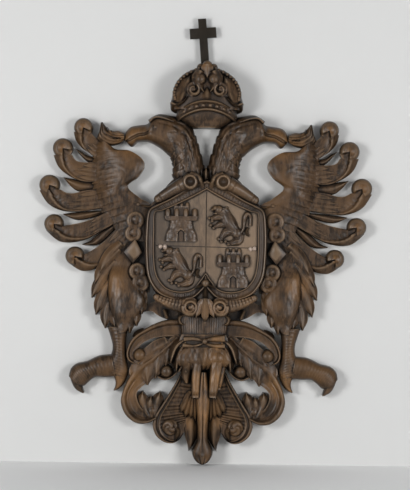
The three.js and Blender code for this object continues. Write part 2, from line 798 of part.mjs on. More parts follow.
// The shield. The same forms, swollen by a clearance and made tall, cut its seat. Its lines
// reach just over the centre line, so that the two halves join.
const shieldOuter = [[-1, 20], [18, 13], [38, 1], [50, -5], [58, -12], [60.5, -30], [60.5, -54],
  [58.5, -75], [52.5, -88], [44, -96], [28, -101], [13, -99], [4, -92], [-1, -86]];
const shieldField = [[-1, 12], [14, 3], [31, -5], [43, -10], [52, -13], [52.3, -32], [52.3, -54],
  [50, -73], [44, -84], [36, -90], [24, -92], [12, -89], [4.5, -80], [-1, -72]];
const upperScrollPlace = [18, 17];
const upperScrollRadius = 7;
const upperTube = [[14, 19], [31, 11], [49.5, -0.5]];
const volutePlace = [15, -107];
const voluteRadius = 8.6;
const voluteTube = [[12, -105], [26, -104.5], [38, -101], [48, -97.5]];
const budPlace = [0, -83];
const budRadius = 4.2;
const sideLeaves = [
  { root: [3, -104], tip: [7.5, -115.5], halfWidth: 3, edge: frameFoot, ridge: flowerSideRidge },
  { root: [1, -84], tip: [10.5, -88], halfWidth: 3, edge: frameHollow, ridge: budLeafRidge },
];
const middleLeaves = [
  { root: [0, -100], tip: [0, -120.5], halfWidth: 4.8, edge: frameFoot, ridge: flowerRidge },
  { root: [0, -84], tip: [0, -103], halfWidth: 4, edge: frameHollow, ridge: budLeafRidge - 1 },
  { root: [0, -83], tip: [0, -75.5], halfWidth: 2.6, edge: frameHollow, ridge: budLeafRidge },
];

// The shield's outline forms: swell widens them all, and a height given as tall stands in
// for every height
function shieldForms(swell, tall) {
  const rise = (height) => tall ?? height;
  const outer = line(...reachingBothWays(shieldOuter, 2 * swell));
  const inner = line(...shieldField);
  const spans = shieldOuter.length - 1;
  const frameRow = [frameFoot, frameOuterBead, frameHollow, frameInnerBead, fieldHeight - sunkIn];
  const frame = strip(beside(outer, () => swell), inner, spans, [0, 0.2, 0.5, 0.8, 1],
    (u, v, i, j) => rise(frameRow[j]));
  const underFrame = beside(inner, () => fieldUnderFrame);
  const places = even(spans).map((share) => underFrame(share).toArray());
  const rightEdge = places.filter(([x]) => x > 0);
  const leftEdge = rightEdge.map(([x, y]) => [-x, y]).reverse();
  const field = block([...rightEdge, ...leftEdge], rise(fieldHeight));
  const hub = (place, rings, sides) => {
    const radius = rings[rings.length - 1][0] + swell;
    return turned(place, tall ? [[0, tall], [radius, tall]] : rings, sides);
  };
  const upperHub = [[0, upperScrollEye], [3.4, upperScrollEye], [4.6, upperScrollCrest + 2],
    [upperScrollRadius, upperScrollCrest - 8]];
  const lowerHub = [[0, voluteCrest + 2], [3.4, voluteFloor], [6.4, voluteCrest],
    [voluteRadius, voluteFloor]];
  const tube = (places, from, to, crest, tip) => rod(
    reachingBothWays(places, swell), (u) => mix(from, to, u) + swell, 2, rounded,
    (u, v) => rise(arch(frameFoot, mix(crest, tip, u), v)));
  const leaves = (list) => list.map(({ root, tip, halfWidth, edge, ridge }) => leaf(
    root, tip, halfWidth, rise(edge), rise(ridge), swell));
  const side = [
    frame,
    tube(upperTube, 6.6, 2.6, upperScrollCrest, upperScrollTip),
    tube(voluteTube, 8, 2.2, voluteTubeCrest, voluteTubeTip),
    hub(upperScrollPlace, upperHub, smallSides),
    hub(volutePlace, lowerHub, turnedSides),
    ...leaves(sideLeaves),
  ];
  return [
    ...side,
    ...side.map(mirrored),
    field,
    hub(budPlace, domeRings(budRadius, budCrest), smallSides),
    ...leaves(middleLeaves),
  ];
}

// A castle of three storeys standing on the shield's field, with a doorway
const merlonPlaces = [-13.5, -4.5, 4.5, 13.5];

function castle([out, up]) {
  const top = fieldHeight + chargeRise;
  const at = (places) => places.map(([x, z]) => [out + x, up + z]);
  const walls = [[-14.5, -33.5], [14.5, -33.5], [11.8, -26], [10.8, -12.5], [-10.8, -12.5],
    [-11.8, -26]];
  const doorway = [[-3.4, -34.5], [3.4, -34.5], [3.4, -25], [0, -22.5], [-3.4, -25]];
  const merlon = (x) => [[x - 2, -8.5], [x + 2, -8.5], [x + 2, -2.5], [x - 2, -2.5]];
  return [
    block(at([[-6.5, -10], [6.5, -10], [7.5, 3.5], [-7.5, 3.5]]), top - 1),
    block(at([[-16, -13], [16, -13], [16.5, -7.5], [-16.5, -7.5]]), top + 1),
    block(at(walls), top).subtract(block(at(doorway), top + 1, top - doorDepth)),
    ...merlonPlaces.map((x) => block(at(merlon(x)), top)),
  ];
}

// A lion on its hind legs, facing the viewer's left: each limb is a rounded strip
const lionLimbs = [
  { places: [[-11, 10], [-5, 4], [2, -4], [6, -12]], from: 6.5, to: 4.5, along: 2 },
  { places: [[-16, 13], [-10, 13], [-5, 9]], from: 4, to: 5.5, along: 1 },
  { places: [[-6, 1], [-13, -0.5], [-19, 1.5]], from: 2.6, to: 2.2, along: 2 },
  { places: [[-6, -4], [-12, -6.5], [-17, -5]], from: 2.4, to: 2.2, along: 1 },
  { places: [[5, -10], [-1, -17], [-6, -21], [-10, -22.5]], from: 4.4, to: 2, along: 2 },
  { places: [[7, -12], [9, -19], [4, -24], [-1, -25]], from: 4.4, to: 2, along: 2 },
  { places: [[8, -13], [15, -8], [13, 2], [16, 9], [20, 7]], from: 1.8, to: 2.2, along: 4 },
];

function lion([out, up]) {
  const height = (u, v) => arch(fieldHeight - sunkIn, fieldHeight + chargeRise, v);
  return lionLimbs.map(({ places, from, to, along }) => {
    const moved = places.map(([x, z]) => [out + x, up + z]);
    return rod(moved, (u) => mix(from, to, u), along, roofed, height);
  });
}

function shieldSolid() {
  const charges = [
    ...castle([-25, -7.5]),
    ...castle([27.5, -53]),
    ...lion([24, -22]),
    ...lion([-25, -64]),
  ];
  return sawnFlat(joined([...shieldForms(0), ...charges]), seatHeight + fitGap);
}

function shieldSeat() {
  return sawnFlat(joined(shieldForms(seatClearance / square, seatCutTop)), seatHeight);
}

// The cross: a plain flat upright with arms and a tenon below. Its gap widens it all round
// to cut the slot in the crown's knob.
const crossUp = drawnTop - 0.5;

function crossSolid(gap) {
  const half = crossWidth / 2 + gap;
  const arm = crossArmLength / 2;
  const foot = -crossTenon - gap;
  const armsTop = crossArmsUp + crossArmHeight;
  const rightSide = [[half, foot], [half, crossArmsUp], [arm, crossArmsUp], [arm, armsTop],
    [half, armsTop], [half, crossAbove]];
  const leftSide = rightSide.map(([x, z]) => [-x, z]).reverse();
  const outline = [...rightSide, ...leftSide].map(([x, z]) => new THREE.Vector2(x, z));
  const shape = { depth: crossThickness + 2 * gap, bevelEnabled: false };
  const plate = new THREE.ExtrudeGeometry(new THREE.Shape(outline), shape);
  plate.rotateX(Math.PI / 2);
  plate.translate(0, -crossBack + gap, 0);
  plate.rotateY(-THREE.MathUtils.degToRad(crossLean));
  plate.translate(crossOffset, 0, crossUp * square);
  return fromGeometry(plate);
}

function eagleSolid() {
  const side = joined([...wing(), ...head(), ...collar(), ...leg(), ...tailSide()]);
  const whole = joined([side, mirrored(side), breast(), ...crown(), ...tailMiddle()])
    .subtract(shifted(shieldSeat(), shieldShift))
    .subtract(crossSolid(fitGap));
  return sawnFlat(whole, 0);
}

const walnut = new THREE.MeshStandardMaterial({ color: 0x4a3526, roughness: 0.5, metalness: 0 });
const greyWalnut = new THREE.MeshStandardMaterial({ color: 0x54443a, roughness: 0.55, metalness: 0 });
const blackened = new THREE.MeshStandardMaterial({ color: 0x2a231c, roughness: 0.6, metalness: 0 });

function named(solid, name, material) {
  const { vertProperties, triVerts } = solid.getMesh();
  const shape = new THREE.BufferGeometry();
  shape.setAttribute('position', new THREE.BufferAttribute(new Float32Array(vertProperties), 3));
  shape.setIndex(new THREE.BufferAttribute(new Uint32Array(triVerts), 1));
  const mesh = new THREE.Mesh(shape, material);
  mesh.name = name;
  return mesh;
}

const group = new THREE.Group();
group.add(
  named(tidied(eagleSolid()), 'eagle', walnut),
  named(tidied(shifted(shieldSolid(), shieldShift)), 'shield', greyWalnut),
  named(crossSolid(0), 'cross', blackened),
);

export default group;
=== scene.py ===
"""A carved coat of arms in dark waxed walnut: eagle with crown, laid-on shield and a small cross.

Every carved form is a net over its front that runs straight back, as a carver cuts it from the
plank. The forms are joined into one body and sawn off flat at the back.
"""
import json
from math import atan, atan2, ceil, cos, floor, pi, radians, sin, sqrt

import bmesh
import bpy
from mathutils import Matrix, Vector

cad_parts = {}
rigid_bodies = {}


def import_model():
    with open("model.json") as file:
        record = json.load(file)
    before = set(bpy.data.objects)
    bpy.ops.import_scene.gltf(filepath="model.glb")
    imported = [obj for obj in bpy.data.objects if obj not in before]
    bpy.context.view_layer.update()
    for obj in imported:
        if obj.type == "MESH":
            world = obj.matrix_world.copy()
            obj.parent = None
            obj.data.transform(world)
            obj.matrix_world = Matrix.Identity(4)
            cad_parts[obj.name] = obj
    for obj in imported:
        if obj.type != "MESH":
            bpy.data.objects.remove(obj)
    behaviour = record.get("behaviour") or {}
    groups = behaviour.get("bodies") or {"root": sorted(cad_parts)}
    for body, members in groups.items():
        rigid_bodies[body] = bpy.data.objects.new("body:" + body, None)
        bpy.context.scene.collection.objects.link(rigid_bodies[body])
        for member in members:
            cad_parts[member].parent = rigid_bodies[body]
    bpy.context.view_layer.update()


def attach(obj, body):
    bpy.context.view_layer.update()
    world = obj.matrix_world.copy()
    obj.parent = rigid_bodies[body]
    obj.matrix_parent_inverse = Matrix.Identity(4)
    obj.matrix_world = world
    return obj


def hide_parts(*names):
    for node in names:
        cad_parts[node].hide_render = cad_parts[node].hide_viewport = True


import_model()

# Places on the front are [out, up] in squares, out from the centre line and up from the
# origin. Heights are in millimetres from the flat back.
EAGLE_HEIGHT = 0.9045
DRAWN_TOP = 138
DRAWN_FOOT = -264
SQUARE = EAGLE_HEIGHT / (DRAWN_TOP - DRAWN_FOOT)
MM = 0.001
SAWN_BEHIND = 6

# How finely the nets are cut, in metres along and across the carving strokes. Rows lie closer
# towards the edges of a strip, and rings half way out on a round form.
ALONG = 0.004
ACROSS = 0.00255
PLAIN = 0.006
CLOSER_AT_EDGES = 0.08
CLOSER_HALF_WAY = 0.06

# The wing
PLUME_EDGE = 24
PLUME_RIM = 37
PLUME_VANE = 27
PLUME_BELLY = 2
PLUME_ROOT = 25
PLUME_LINE = 0.9
PLUME_LOCK_RISE = 1.8
SHORT_FEATHER_EDGE = 15
SHORT_FEATHER_RIDGE = 21
BARB_DEPTH = 1.2
COVERT_EDGE = 24
COVERT_CREST = 49
COVERT_CUT = 1
ARM_EDGE = 30
ARM_CREST = 44
ARM_CUT_AT_THE_TOP = 4.5
ARM_CUT_BELOW = 2.5
CURL_OPENS = radians(226)
CURL_CLOSES = radians(292)
CURL_FALL = 11
CURL_DIP = 3.5

# The heads, necks and breast
BEAK_CREST = 50
HEAD_CREST = 63
NECK_CREST = 55
NECK_EDGE = 27
NECK_FEATHER = 5
MOUTH_DEPTH = 5
HEAD_LINE_DEPTH = 2
CHEEK_RISE = 3
BROW_EDGE = 38
BROW_CREST = 60
EYE_CREST = 64
BREAST_HEIGHT = 42

# The collar
COLLAR_GROUND = 27
COLLAR_CREST = 44
COLLAR_HOLLOW = 31
FLINT_CREST = 55
FLINT_EDGE = 46
FLINT_PEAK_OUT = 69.5

# The legs
THIGH_EDGE = 24
THIGH_CREST = 51
WISP_DEPTH = 1.3
TIP_EDGE = 29
TIP_RIDGE = 35
SHANK_EDGE = 25
SHANK_CREST = 42
FOOT_CREST = 44
SCALE_STEP = 0.8
CLAW_EDGE = 22
CLAW_CREST = 37
CLAW_POINT = 28

# The crown
CROWN_EDGE = 40
CROWN_LINING = 78
CROWN_RIM = 96
CROWN_RIM_BOW = 26
CROWN_DOME = 83
CROWN_TOP = 68
SIDE_ARCH_CREST = 67
FRONT_ARCH_HOLLOW = 82
FRONT_ARCH_CREST = 89
FLEURON_CREST = 74
CROWN_LEAF_EDGE = 60
CROWN_LEAF_RIDGE = 80
TEARDROP_CREST = 92
MIDDLE_LEAF_RIDGE = 91
KNOB_CREST = 66

# The tail
TAIL_GROUND = 29
STRUT_CREST = 22
BAND_CREST = 50
BELT_CREST = 60
BOW_CREST = 68
BOW_FOLD = 1.5
FLEECE_EDGE = 50
FLEECE_CREST = 69
FLEECE_FOLD = 3.5
FLEECE_STRAND = 1.1
FLEECE_STRANDS = 9
LAMB_EDGE = 42
LAMB_LEG = 64
WOOL_DEPTH = 1.4
HOOF_CUT = 2.5
HAUNCH_CREST = 70
LAMB_HEAD_TOP = 66
LAMB_HEAD_TIP = 56
STEM_EDGE = 40
STEM_CREST = 63
STEM_FLUTE = 2.2
BULB_LOBE = 3
SCROLL_FLOOR = 33
SCROLL_RIM = 41
INNER_SCROLL_FLOOR = 30
INNER_SCROLL_RIM = 37
SCROLL_BALL = 46
SCROLL_LEAF_EDGE = 24
SCROLL_LEAF_RIDGE = 36
RIBBED_FLOOR = 31
RIBBED_RIM = 39
RIB_STEP = 2.2
BUD_SWIRL = 3
SPEAR_EDGE = 32
SPEAR_RIDGE = 40
HANGING_RING_CREST = 47

# The shield on its seat
SEAT_HEIGHT = 38
FIT_GAP = 0.3
SHIELD_SHIFT = 2.2
FIELD_HEIGHT = 53
FRAME_FOOT = 50
FRAME_OUTER_BEAD = 66
FRAME_HOLLOW = 57
FRAME_COVE = 58.5
FRAME_COVE_CURVE = 14
TOOLING_DEPTH = 1.8
FRAME_INNER_BEAD = 63
CHARGE_RISE = 7
STONE_JOINT = 0.6
FUR_DEPTH = 1.3
SUNK_IN = 2
DOOR_DEPTH = 4
SCORED_LINE = 2
SCORED_HALF_WIDTH = 0.42
ABOVE_ALL = 150
UPPER_SCROLL_CREST = 83
UPPER_SCROLL_TIP = 68
UPPER_SCROLL_EYE = 74
VOLUTE_CREST = 80
VOLUTE_FLOOR = 68
VOLUTE_TUBE_CREST = 76
VOLUTE_TUBE_TIP = 67
BUD_CREST = 74
BUD_LEAF_RIDGE = 70
FLOWER_RIDGE = 81
FLOWER_SIDE_RIDGE = 78

# The cross, in metres
CROSS_WIDTH = 0.0185
CROSS_ARM_LENGTH = 0.06
CROSS_ARM_HEIGHT = 0.0235
CROSS_ABOVE = 0.102
CROSS_ARMS_UP = 0.0575
CROSS_THICKNESS = 0.008
CROSS_BACK = 0.008
CROSS_TENON = 0.014
CROSS_LEAN = radians(4.7)
CROSS_OFFSET = -0.005
CROSS_SOFT = 0.0006
CROSS_UP = (DRAWN_TOP - 0.5) * SQUARE


# Shares and profiles

def mix(start, end, share):
    """The value at a share of the way from start to end."""
    return start + (end - start) * share


def eased(share):
    """A share that starts and ends gently, kept between 0 and 1."""
    share = min(1, max(0, share))
    return share * share * (3 - 2 * share)


def flat(level):
    """A height that is the same all over."""
    return lambda u, v: level


def arch(edge, crest, across):
    """A round back over a strip."""
    side = 2 * across - 1
    return mix(edge, crest, sqrt(max(0, 1 - side * side)))


def roof(edge, ridge, across):
    """A roof with one ridge over a strip."""
    return mix(ridge, edge, abs(2 * across - 1))


def bump(distance):
    """A round rise: 1 in the middle and 0 from a distance of 1 on."""
    return sqrt(max(0, 1 - distance * distance))


def along_row(row, share):
    """A value read smoothly off a row of values spaced evenly."""
    place = min(1, max(0, share)) * (len(row) - 1)
    index = min(len(row) - 2, floor(place))
    return mix(row[index], row[index + 1], eased(place - index))


def furrows(share, count):
    """Cuts side by side: 0 at each cut, 1 on the ridges between."""
    return abs(sin(pi * count * share)) ** 0.6


def feathers(along, across):
    """Overlapping pointed feathers, two rows long and one wide: 1 at a tip, low at a root."""
    for row in (floor(along) - 1, floor(along)):
        sway = across + 0.5 * (row % 2) + 0.15 * sin(2.3 * row)
        column = floor(sway)
        side = sway - column - 0.5
        run = (along - row + 0.2 * sin(3.7 * column + 1.9 * row)) / 2
        half = 0.52 * max(0, 1 - max(0, run - 0.4) / 0.6) ** 0.75
        if abs(side) < half:
            rib = 0.12 * bump(side / 0.06)
            return 0.2 + 0.8 * run * (0.6 + 0.4 * bump(side / half)) - rib
    return 0.2


# Lines

def line(*places):
    """A smooth line through places, as a function of a share along it."""
    points = [Vector(place) for place in places]
    last = len(points) - 1

    def at(share):
        run = last * min(1, max(0, share))
        index = min(last - 1, floor(run))
        rest = run - index
        before, start = points[max(0, index - 1)], points[index]
        end, after = points[index + 1], points[min(last, index + 2)]
        leave, arrive = (end - before) / 2, (after - start) / 2
        cubed = 2 * start - 2 * end + leave + arrive
        squared = 3 * end - 3 * start - 2 * leave - arrive
        return ((cubed * rest + squared) * rest + leave) * rest + start
    return at


def beside(edge, width):
    """The same line moved sideways to its left by a width that may vary along it."""
    step = 0.002

    def at(share):
        ahead, behind = edge(share + step), edge(share - step)
        run = (ahead - behind).normalized()
        return edge(share) + Vector((-run.y, run.x)) * width(share)
    return at


def jagged(edge, start, count, depth):
    """The same line with feather tips that stand out of it from a share on."""
    def tooth(share):
        run = (share - start) * count / (1 - start)
        return depth * (run % 1) ** 1.5 if run > 0 else 0
    return beside(edge, tooth)


def length_of(edge):
    """The length of a line, in metres."""
    steps = 16
    places = [edge(step / steps) for step in range(steps + 1)]
    return SQUARE * sum((b - a).length for a, b in zip(places, places[1:]))


# Carved forms

def closed(net):
    """The net of a front with walls straight back and a flat back."""
    made = bmesh.ops.extrude_face_region(net, geom=net.faces[:])
    for part in made["geom"]:
        if isinstance(part, bmesh.types.BMVert):
            part.co.y = SAWN_BEHIND * MM
    bmesh.ops.recalc_face_normals(net, faces=net.faces)
    return net


def strip(edge_a, edge_b, height, along=ALONG, across=ACROSS):
    """A strip between two edges, its height a function of the shares along and across."""
    width = SQUARE * max((edge_a(s / 8) - edge_b(s / 8)).length for s in range(9))
    length = max(length_of(edge_a), length_of(edge_b))
    net = bmesh.new()
    bmesh.ops.create_grid(net, x_segments=max(2, ceil(length / along)),
                          y_segments=max(3, ceil(width / across)), size=0.5)
    ends = {}
    for vert in net.verts:
        share = vert.co.x + 0.5
        if share not in ends:
            ends[share] = (edge_a(share), edge_b(share))
        side = vert.co.y + 0.5
        side -= CLOSER_AT_EDGES * sin(2 * pi * side)
        place = ends[share][0].lerp(ends[share][1], side) * SQUARE
        vert.co = (place.x, -height(share, side) * MM, place.y)
    return closed(net)


def rod(places, half_width, height, along=ALONG, across=ACROSS):
    """A strip with a half width along a centre line."""
    centre = line(*places)
    left = beside(centre, half_width)
    right = beside(centre, lambda share: -half_width(share))
    return strip(left, right, height, along, across)


def tapered(places, start, end, edge, crest, tip=None, along=ALONG, across=ACROSS):
    """A round-backed rod: its half width runs evenly from start to end, its crest to the tip's."""
    tip = crest if tip is None else tip
    return rod(places, lambda u: mix(start, end, u),
               lambda u, v: arch(edge, mix(crest, tip, u), v), along, across)


def lock(places, half_width, edge, ridge, veins=0, lift=0):
    """A pointed feather or leaf along a line, with a ridge, its tip raised by a lift."""
    def height(u, v):
        vein = furrows(u + 0.35 * abs(2 * v - 1), veins) - 1 if veins else 0
        return roof(edge, ridge, v) + lift * u + 1.4 * vein
    return rod(places, lambda u: half_width * along_row([0.65, 0.95, 0.85, 0.12], u), height)


def leaf(root, tip, half_width, edge, ridge, veins=0, lift=0):
    """A straight lock from its root to its tip."""
    return lock([root, tip], half_width, edge, ridge, veins, lift)


def across_middle(levels, height, along=ALONG, across=ACROSS):
    """A strip that runs across the centre line, from its right-hand edge."""
    right = line(*levels)

    def left(share):
        place = right(share)
        return Vector((-place.x, place.y))
    return strip(left, right, height, along, across)


def disc(place, radius, height, width=1):
    """A round form, its height a function of the reach from its middle and the angle."""
    net = bmesh.new()
    rings = max(4, ceil(radius * SQUARE / ACROSS))
    around = max(14, ceil(2 * pi * radius * SQUARE / ALONG))
    bmesh.ops.create_grid(net, x_segments=around, y_segments=rings, size=0.5)
    for vert in net.verts:
        angle = 2 * pi * (vert.co.x + 0.5)
        share = vert.co.y + 0.5
        reach = radius * (share + CLOSER_HALF_WAY * sin(2 * pi * share))
        out = place[0] + width * reach * cos(angle)
        up = place[1] + reach * sin(angle)
        vert.co = (out * SQUARE, -height(reach, angle) * MM, up * SQUARE)
    bmesh.ops.remove_doubles(net, verts=net.verts, dist=1e-6)
    return closed(net)


def ball(place, radius, crest, width=1):
    """A round knob."""
    drop = 0.85 * radius * SQUARE / MM
    return disc(place, radius, lambda reach, angle: crest - drop * (1 - bump(reach / radius)), width)


def ring(place, radius, crest, hollow):
    """A round link with an open middle."""
    middle = 0.66 * radius
    half = 0.36 * radius
    return disc(place, radius, lambda reach, angle: mix(hollow, crest, bump((reach - middle) / half)))


def curl_end(place, radius, start, rim, cup):
    """The rolled end of a plume: a round back with a dip in it, cut open towards the vane."""
    def height(reach, angle):
        share = reach / radius
        sweep = (angle - start) % (2 * pi)
        outside = rim - CURL_FALL * (1 - bump(max(0, share - 0.5) / 0.5))
        dip = CURL_DIP * (1 - min(1, share / 0.5)) ** 0.8
        fallen = eased((sweep - CURL_OPENS) / 0.3) * (1 - eased((sweep - CURL_CLOSES) / 0.25))
        return mix(outside - dip, cup, fallen)
    return disc(place, radius, height)


def snail(place, radius, start, turns, rim, ground, boss, inwards=1):
    """A curl whose rolled rim winds inwards to a boss."""
    whole = 2 * pi * turns

    def height(reach, angle):
        value = ground
        for winding in range(ceil(turns)):
            sweep = inwards * (angle - start) % (2 * pi) + 2 * pi * winding
            if sweep < whole:
                run = sweep / whole
                middle = radius * mix(0.78, 0.3, run ** 1.2)
                half = radius * mix(0.27, 0.2, run)
                value = max(value, mix(ground, rim, bump((reach - middle) / half)))
        return max(value, mix(ground, boss, bump(reach / (0.3 * radius))))
    return disc(place, radius, height)


def prism(outline, back, depth):
    """A block with upright sides round an outline, from its back to the front, in metres."""
    net = bmesh.new()
    face = net.faces.new([net.verts.new((x, back, z)) for x, z in outline])
    made = bmesh.ops.extrude_face_region(net, geom=[face])
    raised = [part for part in made["geom"] if isinstance(part, bmesh.types.BMVert)]
    bmesh.ops.translate(net, verts=raised, vec=(0, -depth, 0))
    bmesh.ops.recalc_face_normals(net, faces=net.faces)
    return net


def soften(net, edges, radius, segments):
    """Rounds some of the edges of a form."""
    bmesh.ops.bevel(net, geom=edges, offset=radius, affect="EDGES", segments=segments, profile=0.5,
                    material=-1)


def block(outline, crest, base=-SAWN_BEHIND, soft=0.0):
    """A block round an outline of places, its front edges rounded if soft."""
    places = [(out * SQUARE, up * SQUARE) for out, up in outline]
    net = prism(places, -base * MM, (crest - base) * MM)
    if soft:
        level = -crest * MM
        rim = [edge for edge in net.edges if all(abs(v.co.y - level) < 1e-6 for v in edge.verts)]
        soften(net, rim, soft * MM, 3)
    return net


def moved(net, vector):
    """The same form moved by a vector in metres."""
    bmesh.ops.translate(net, verts=net.verts, vec=vector)
    return net


def mirrored(net):
    """A copy of a form on the other side of the centre line."""
    other = net.copy()
    bmesh.ops.scale(other, verts=other.verts, vec=(-1, 1, 1))
    bmesh.ops.recalc_face_normals(other, faces=other.faces)
    return other


def both_sides(forms):
    """Forms on one side, and the same forms on the other."""
    return forms + [mirrored(form) for form in forms]


# Wing plumes: a grooved vane with locks, a rolled rim along the outer edge and a curl at the end

# For each plume its outer edge, the inner edge of its vane, and the place and radius of its curl
PLUMES = [
    ([(104, 36), (117, 45.5), (125, 51), (131, 58.5), (133.3, 67)],
     [(100, 54), (105, 58), (110, 60.5), (114, 64), (117, 68)], (123.5, 71.5), 9.5),
    ([(104, 18), (122, 17), (137, 22.5), (148, 31.5), (153.3, 43.5)],
     [(106, 38), (118, 36.5), (127, 37), (132, 39.5), (135, 44)], (144, 50.5), 10),
    ([(102, -9), (123, -12.5), (143, -12.5), (158, -5.5), (167, 8)],
     [(106, 10), (122, 8), (133, 5.3), (140, 5.8), (146, 9)], (156.9, 13.5), 10.2),
    ([(86, -21), (104, -32), (123, -42), (145, -43.5), (160, -32)],
     [(98, -12), (111, -19), (123, -23.5), (134, -26), (142, -27.5)], (152, -25.5), 9.7),
    ([(70, -36), (85, -55), (104, -68), (123, -72.5), (138.5, -63)],
     [(84, -24), (94, -36), (104, -45), (112.5, -51), (120, -55.5)], (130.5, -57.5), 9.5),
]
ROLLED_FROM = 0.3
CREASE_SHARE = 0.5
VANE_LINES = 8
PLUME_LOCKS = [(0.16, 0.38), (0.36, 0.5), (0.58, 0.42), (0.82, 0.34)]
LOCK_HALF_WIDTH = 2.6


def plume(outer, vane, curl, radius):
    def height(u, v):
        rolled = eased((u - ROLLED_FROM) / (1 - ROLLED_FROM))
        crease = mix(0.04, CREASE_SHARE, rolled)
        crest = mix(PLUME_VANE + 2.5, PLUME_RIM, rolled)
        if v < crease:
            carved = mix(PLUME_EDGE, crest, sin(pi / 2 * v / crease))
        else:
            across = (v - crease) / (1 - crease)
            lines = PLUME_LINE * (furrows(across ** 0.8 + 0.05 * sin(6 * u), VANE_LINES) - 1)
            vane_height = PLUME_VANE + lines + PLUME_BELLY * sin(pi * across)
            carved = mix(vane_height, crest, max(0, 1 - across / 0.1))
        return mix(PLUME_ROOT, carved, min(1, mix(0.3, 1.7, u)))

    def at(along, across):
        return line(*outer)(along).lerp(line(*vane)(along), across)

    last = Vector(outer[-1]) - Vector(curl)
    start = atan2(last.y, last.x)
    return [
        strip(line(*outer), line(*vane), height),
        curl_end(curl, radius, start, PLUME_RIM + 1, PLUME_VANE + 1.5),
        *(lock([root + (root - at(0.25, across)) * 0.5, at(0.12, across), at(end, across)],
               LOCK_HALF_WIDTH, PLUME_VANE, PLUME_VANE + PLUME_LOCK_RISE, 0, 1)
          for across, end in PLUME_LOCKS for root in [at(0, across)]),
    ]


# Short pointed feathers between the plumes: upper and lower edge from the root

SHORT_FEATHERS = [
    ([(104, 44), (118, 43), (126, 48), (131.5, 50.5)],
     [(104, 34), (117, 36), (124, 41), (131, 49.5)]),
    ([(104, 18), (120, 18), (134, 20), (143.5, 21.5)],
     [(104, 8), (126, 7), (136, 12.5), (143, 20.5)]),
    ([(98, -11), (120, -12.5), (134, -14), (143, -15.5)],
     [(90, -10), (108, -17), (128, -21.5), (142.5, -16.5)]),
    ([(88, -22), (105, -33), (115, -41.5), (123.5, -45.5)],
     [(78, -21), (90, -30), (107, -45.5), (123, -46.5)]),
]


def short_feather(upper, lower):
    def height(u, v):
        return roof(SHORT_FEATHER_EDGE, SHORT_FEATHER_RIDGE, v) + BARB_DEPTH * (furrows(v, 4) - 1)
    return strip(line(*upper), line(*lower), height)


# The shoulder and coverts: one swelling mass from the arm down to behind the shield

COVERT_OUTER = [(107, 66), (111, 52), (112.5, 42), (113, 32), (113, 22), (112, 12), (110, 2),
                (105, -9), (97, -20), (88, -31), (78, -42)]
COVERT_INNER = [(99, 57), (91, 50), (77, 48.7), (64.5, 41), (62, 32.5), (68, 22.5), (78.5, 13),
                (66, 1.5), (55, -6), (55, -25), (55, -42)]
COVERT_LENGTH = 270
COVERT_WIDTH = 112
COVERT_FEATHER = (24, 7)
SPUR_FINGERS = [
    [(94, 62), (101, 66), (104.5, 77)],
    [(90, 60), (97, 64), (100, 72.5)],
    [(86, 60), (92, 63), (95, 69)],
]


def covert_height(u, v):
    swell = mix(0.55, 1, sin(pi * min(1, u * 1.1)))
    slope = sin(pi * min(1, (1 - v) / 1.35)) ** 0.9
    whole = mix(COVERT_EDGE, COVERT_CREST, swell * slope)
    down, outwards = COVERT_LENGTH * u, COVERT_WIDTH * v
    turned = mix(0.95, 0.55, eased(v * 1.3))
    along = (turned * down + (1 - turned) * 1.6 * outwards) / COVERT_FEATHER[0]
    across = (turned * outwards - (1 - turned) * down) / COVERT_FEATHER[1]
    cut = feathers(along, across + 0.3 * sin(along * 1.3))
    return whole + COVERT_CUT * (cut - 0.6) * eased(5 * v + 0.2) * eased(5 * (1 - v) + 0.5)


def wing():
    def arm_height(u, v):
        depth = mix(ARM_CUT_AT_THE_TOP, ARM_CUT_BELOW, eased(u / 0.6))
        return arch(ARM_EDGE, ARM_CREST, v) + depth * (furrows(v + 0.12 * sin(5 * u), 4) - 1)
    arm = strip(
        line((104.5, 77), (102, 74), (99, 70.5), (94, 68.7), (88, 68.4), (82.6, 66)),
        line((106, 76), (107.5, 68), (109, 60), (98, 54), (88, 55.5), (82, 59)),
        arm_height, across=0.0013)
    spur = [lock(places, 3, ARM_EDGE, ARM_CREST + 4, 0, -10) for places in SPUR_FINGERS]
    outer = jagged(line(*COVERT_OUTER), 0, 19, 2.2)
    coverts = strip(line(*COVERT_INNER), outer, covert_height, along=0.0024)
    return [
        *(part for one in PLUMES for part in plume(*one)),
        *(short_feather(*one) for one in SHORT_FEATHERS),
        coverts,
        arm,
        *spur,
    ]


# A head and neck: one edge runs over the brow and down the nape, the other down the throat

NAPE = [(82, 60.5), (81, 67), (76, 72.5), (67, 74.5), (59, 76), (54, 83), (47, 86), (37, 84.5),
        (26, 82), (16, 75), (10.5, 65), (7, 55), (3, 41), (0, 28), (0, 12)]
THROAT = [(80, 57), (76.5, 53.5), (73.5, 53.5), (69, 57.5), (63, 58.5), (57, 57.5), (50, 54),
          (44, 50), (39.5, 46), (36.5, 42), (35, 37), (34, 32), (34.5, 26), (33, 20), (24, 10)]
BEAK_SHARE = 0.33
FEATHERED_FROM = 0.52
MOUTH_ACROSS = 0.6
NECK_ROWS = 4.6
NECK_COLUMNS = 3


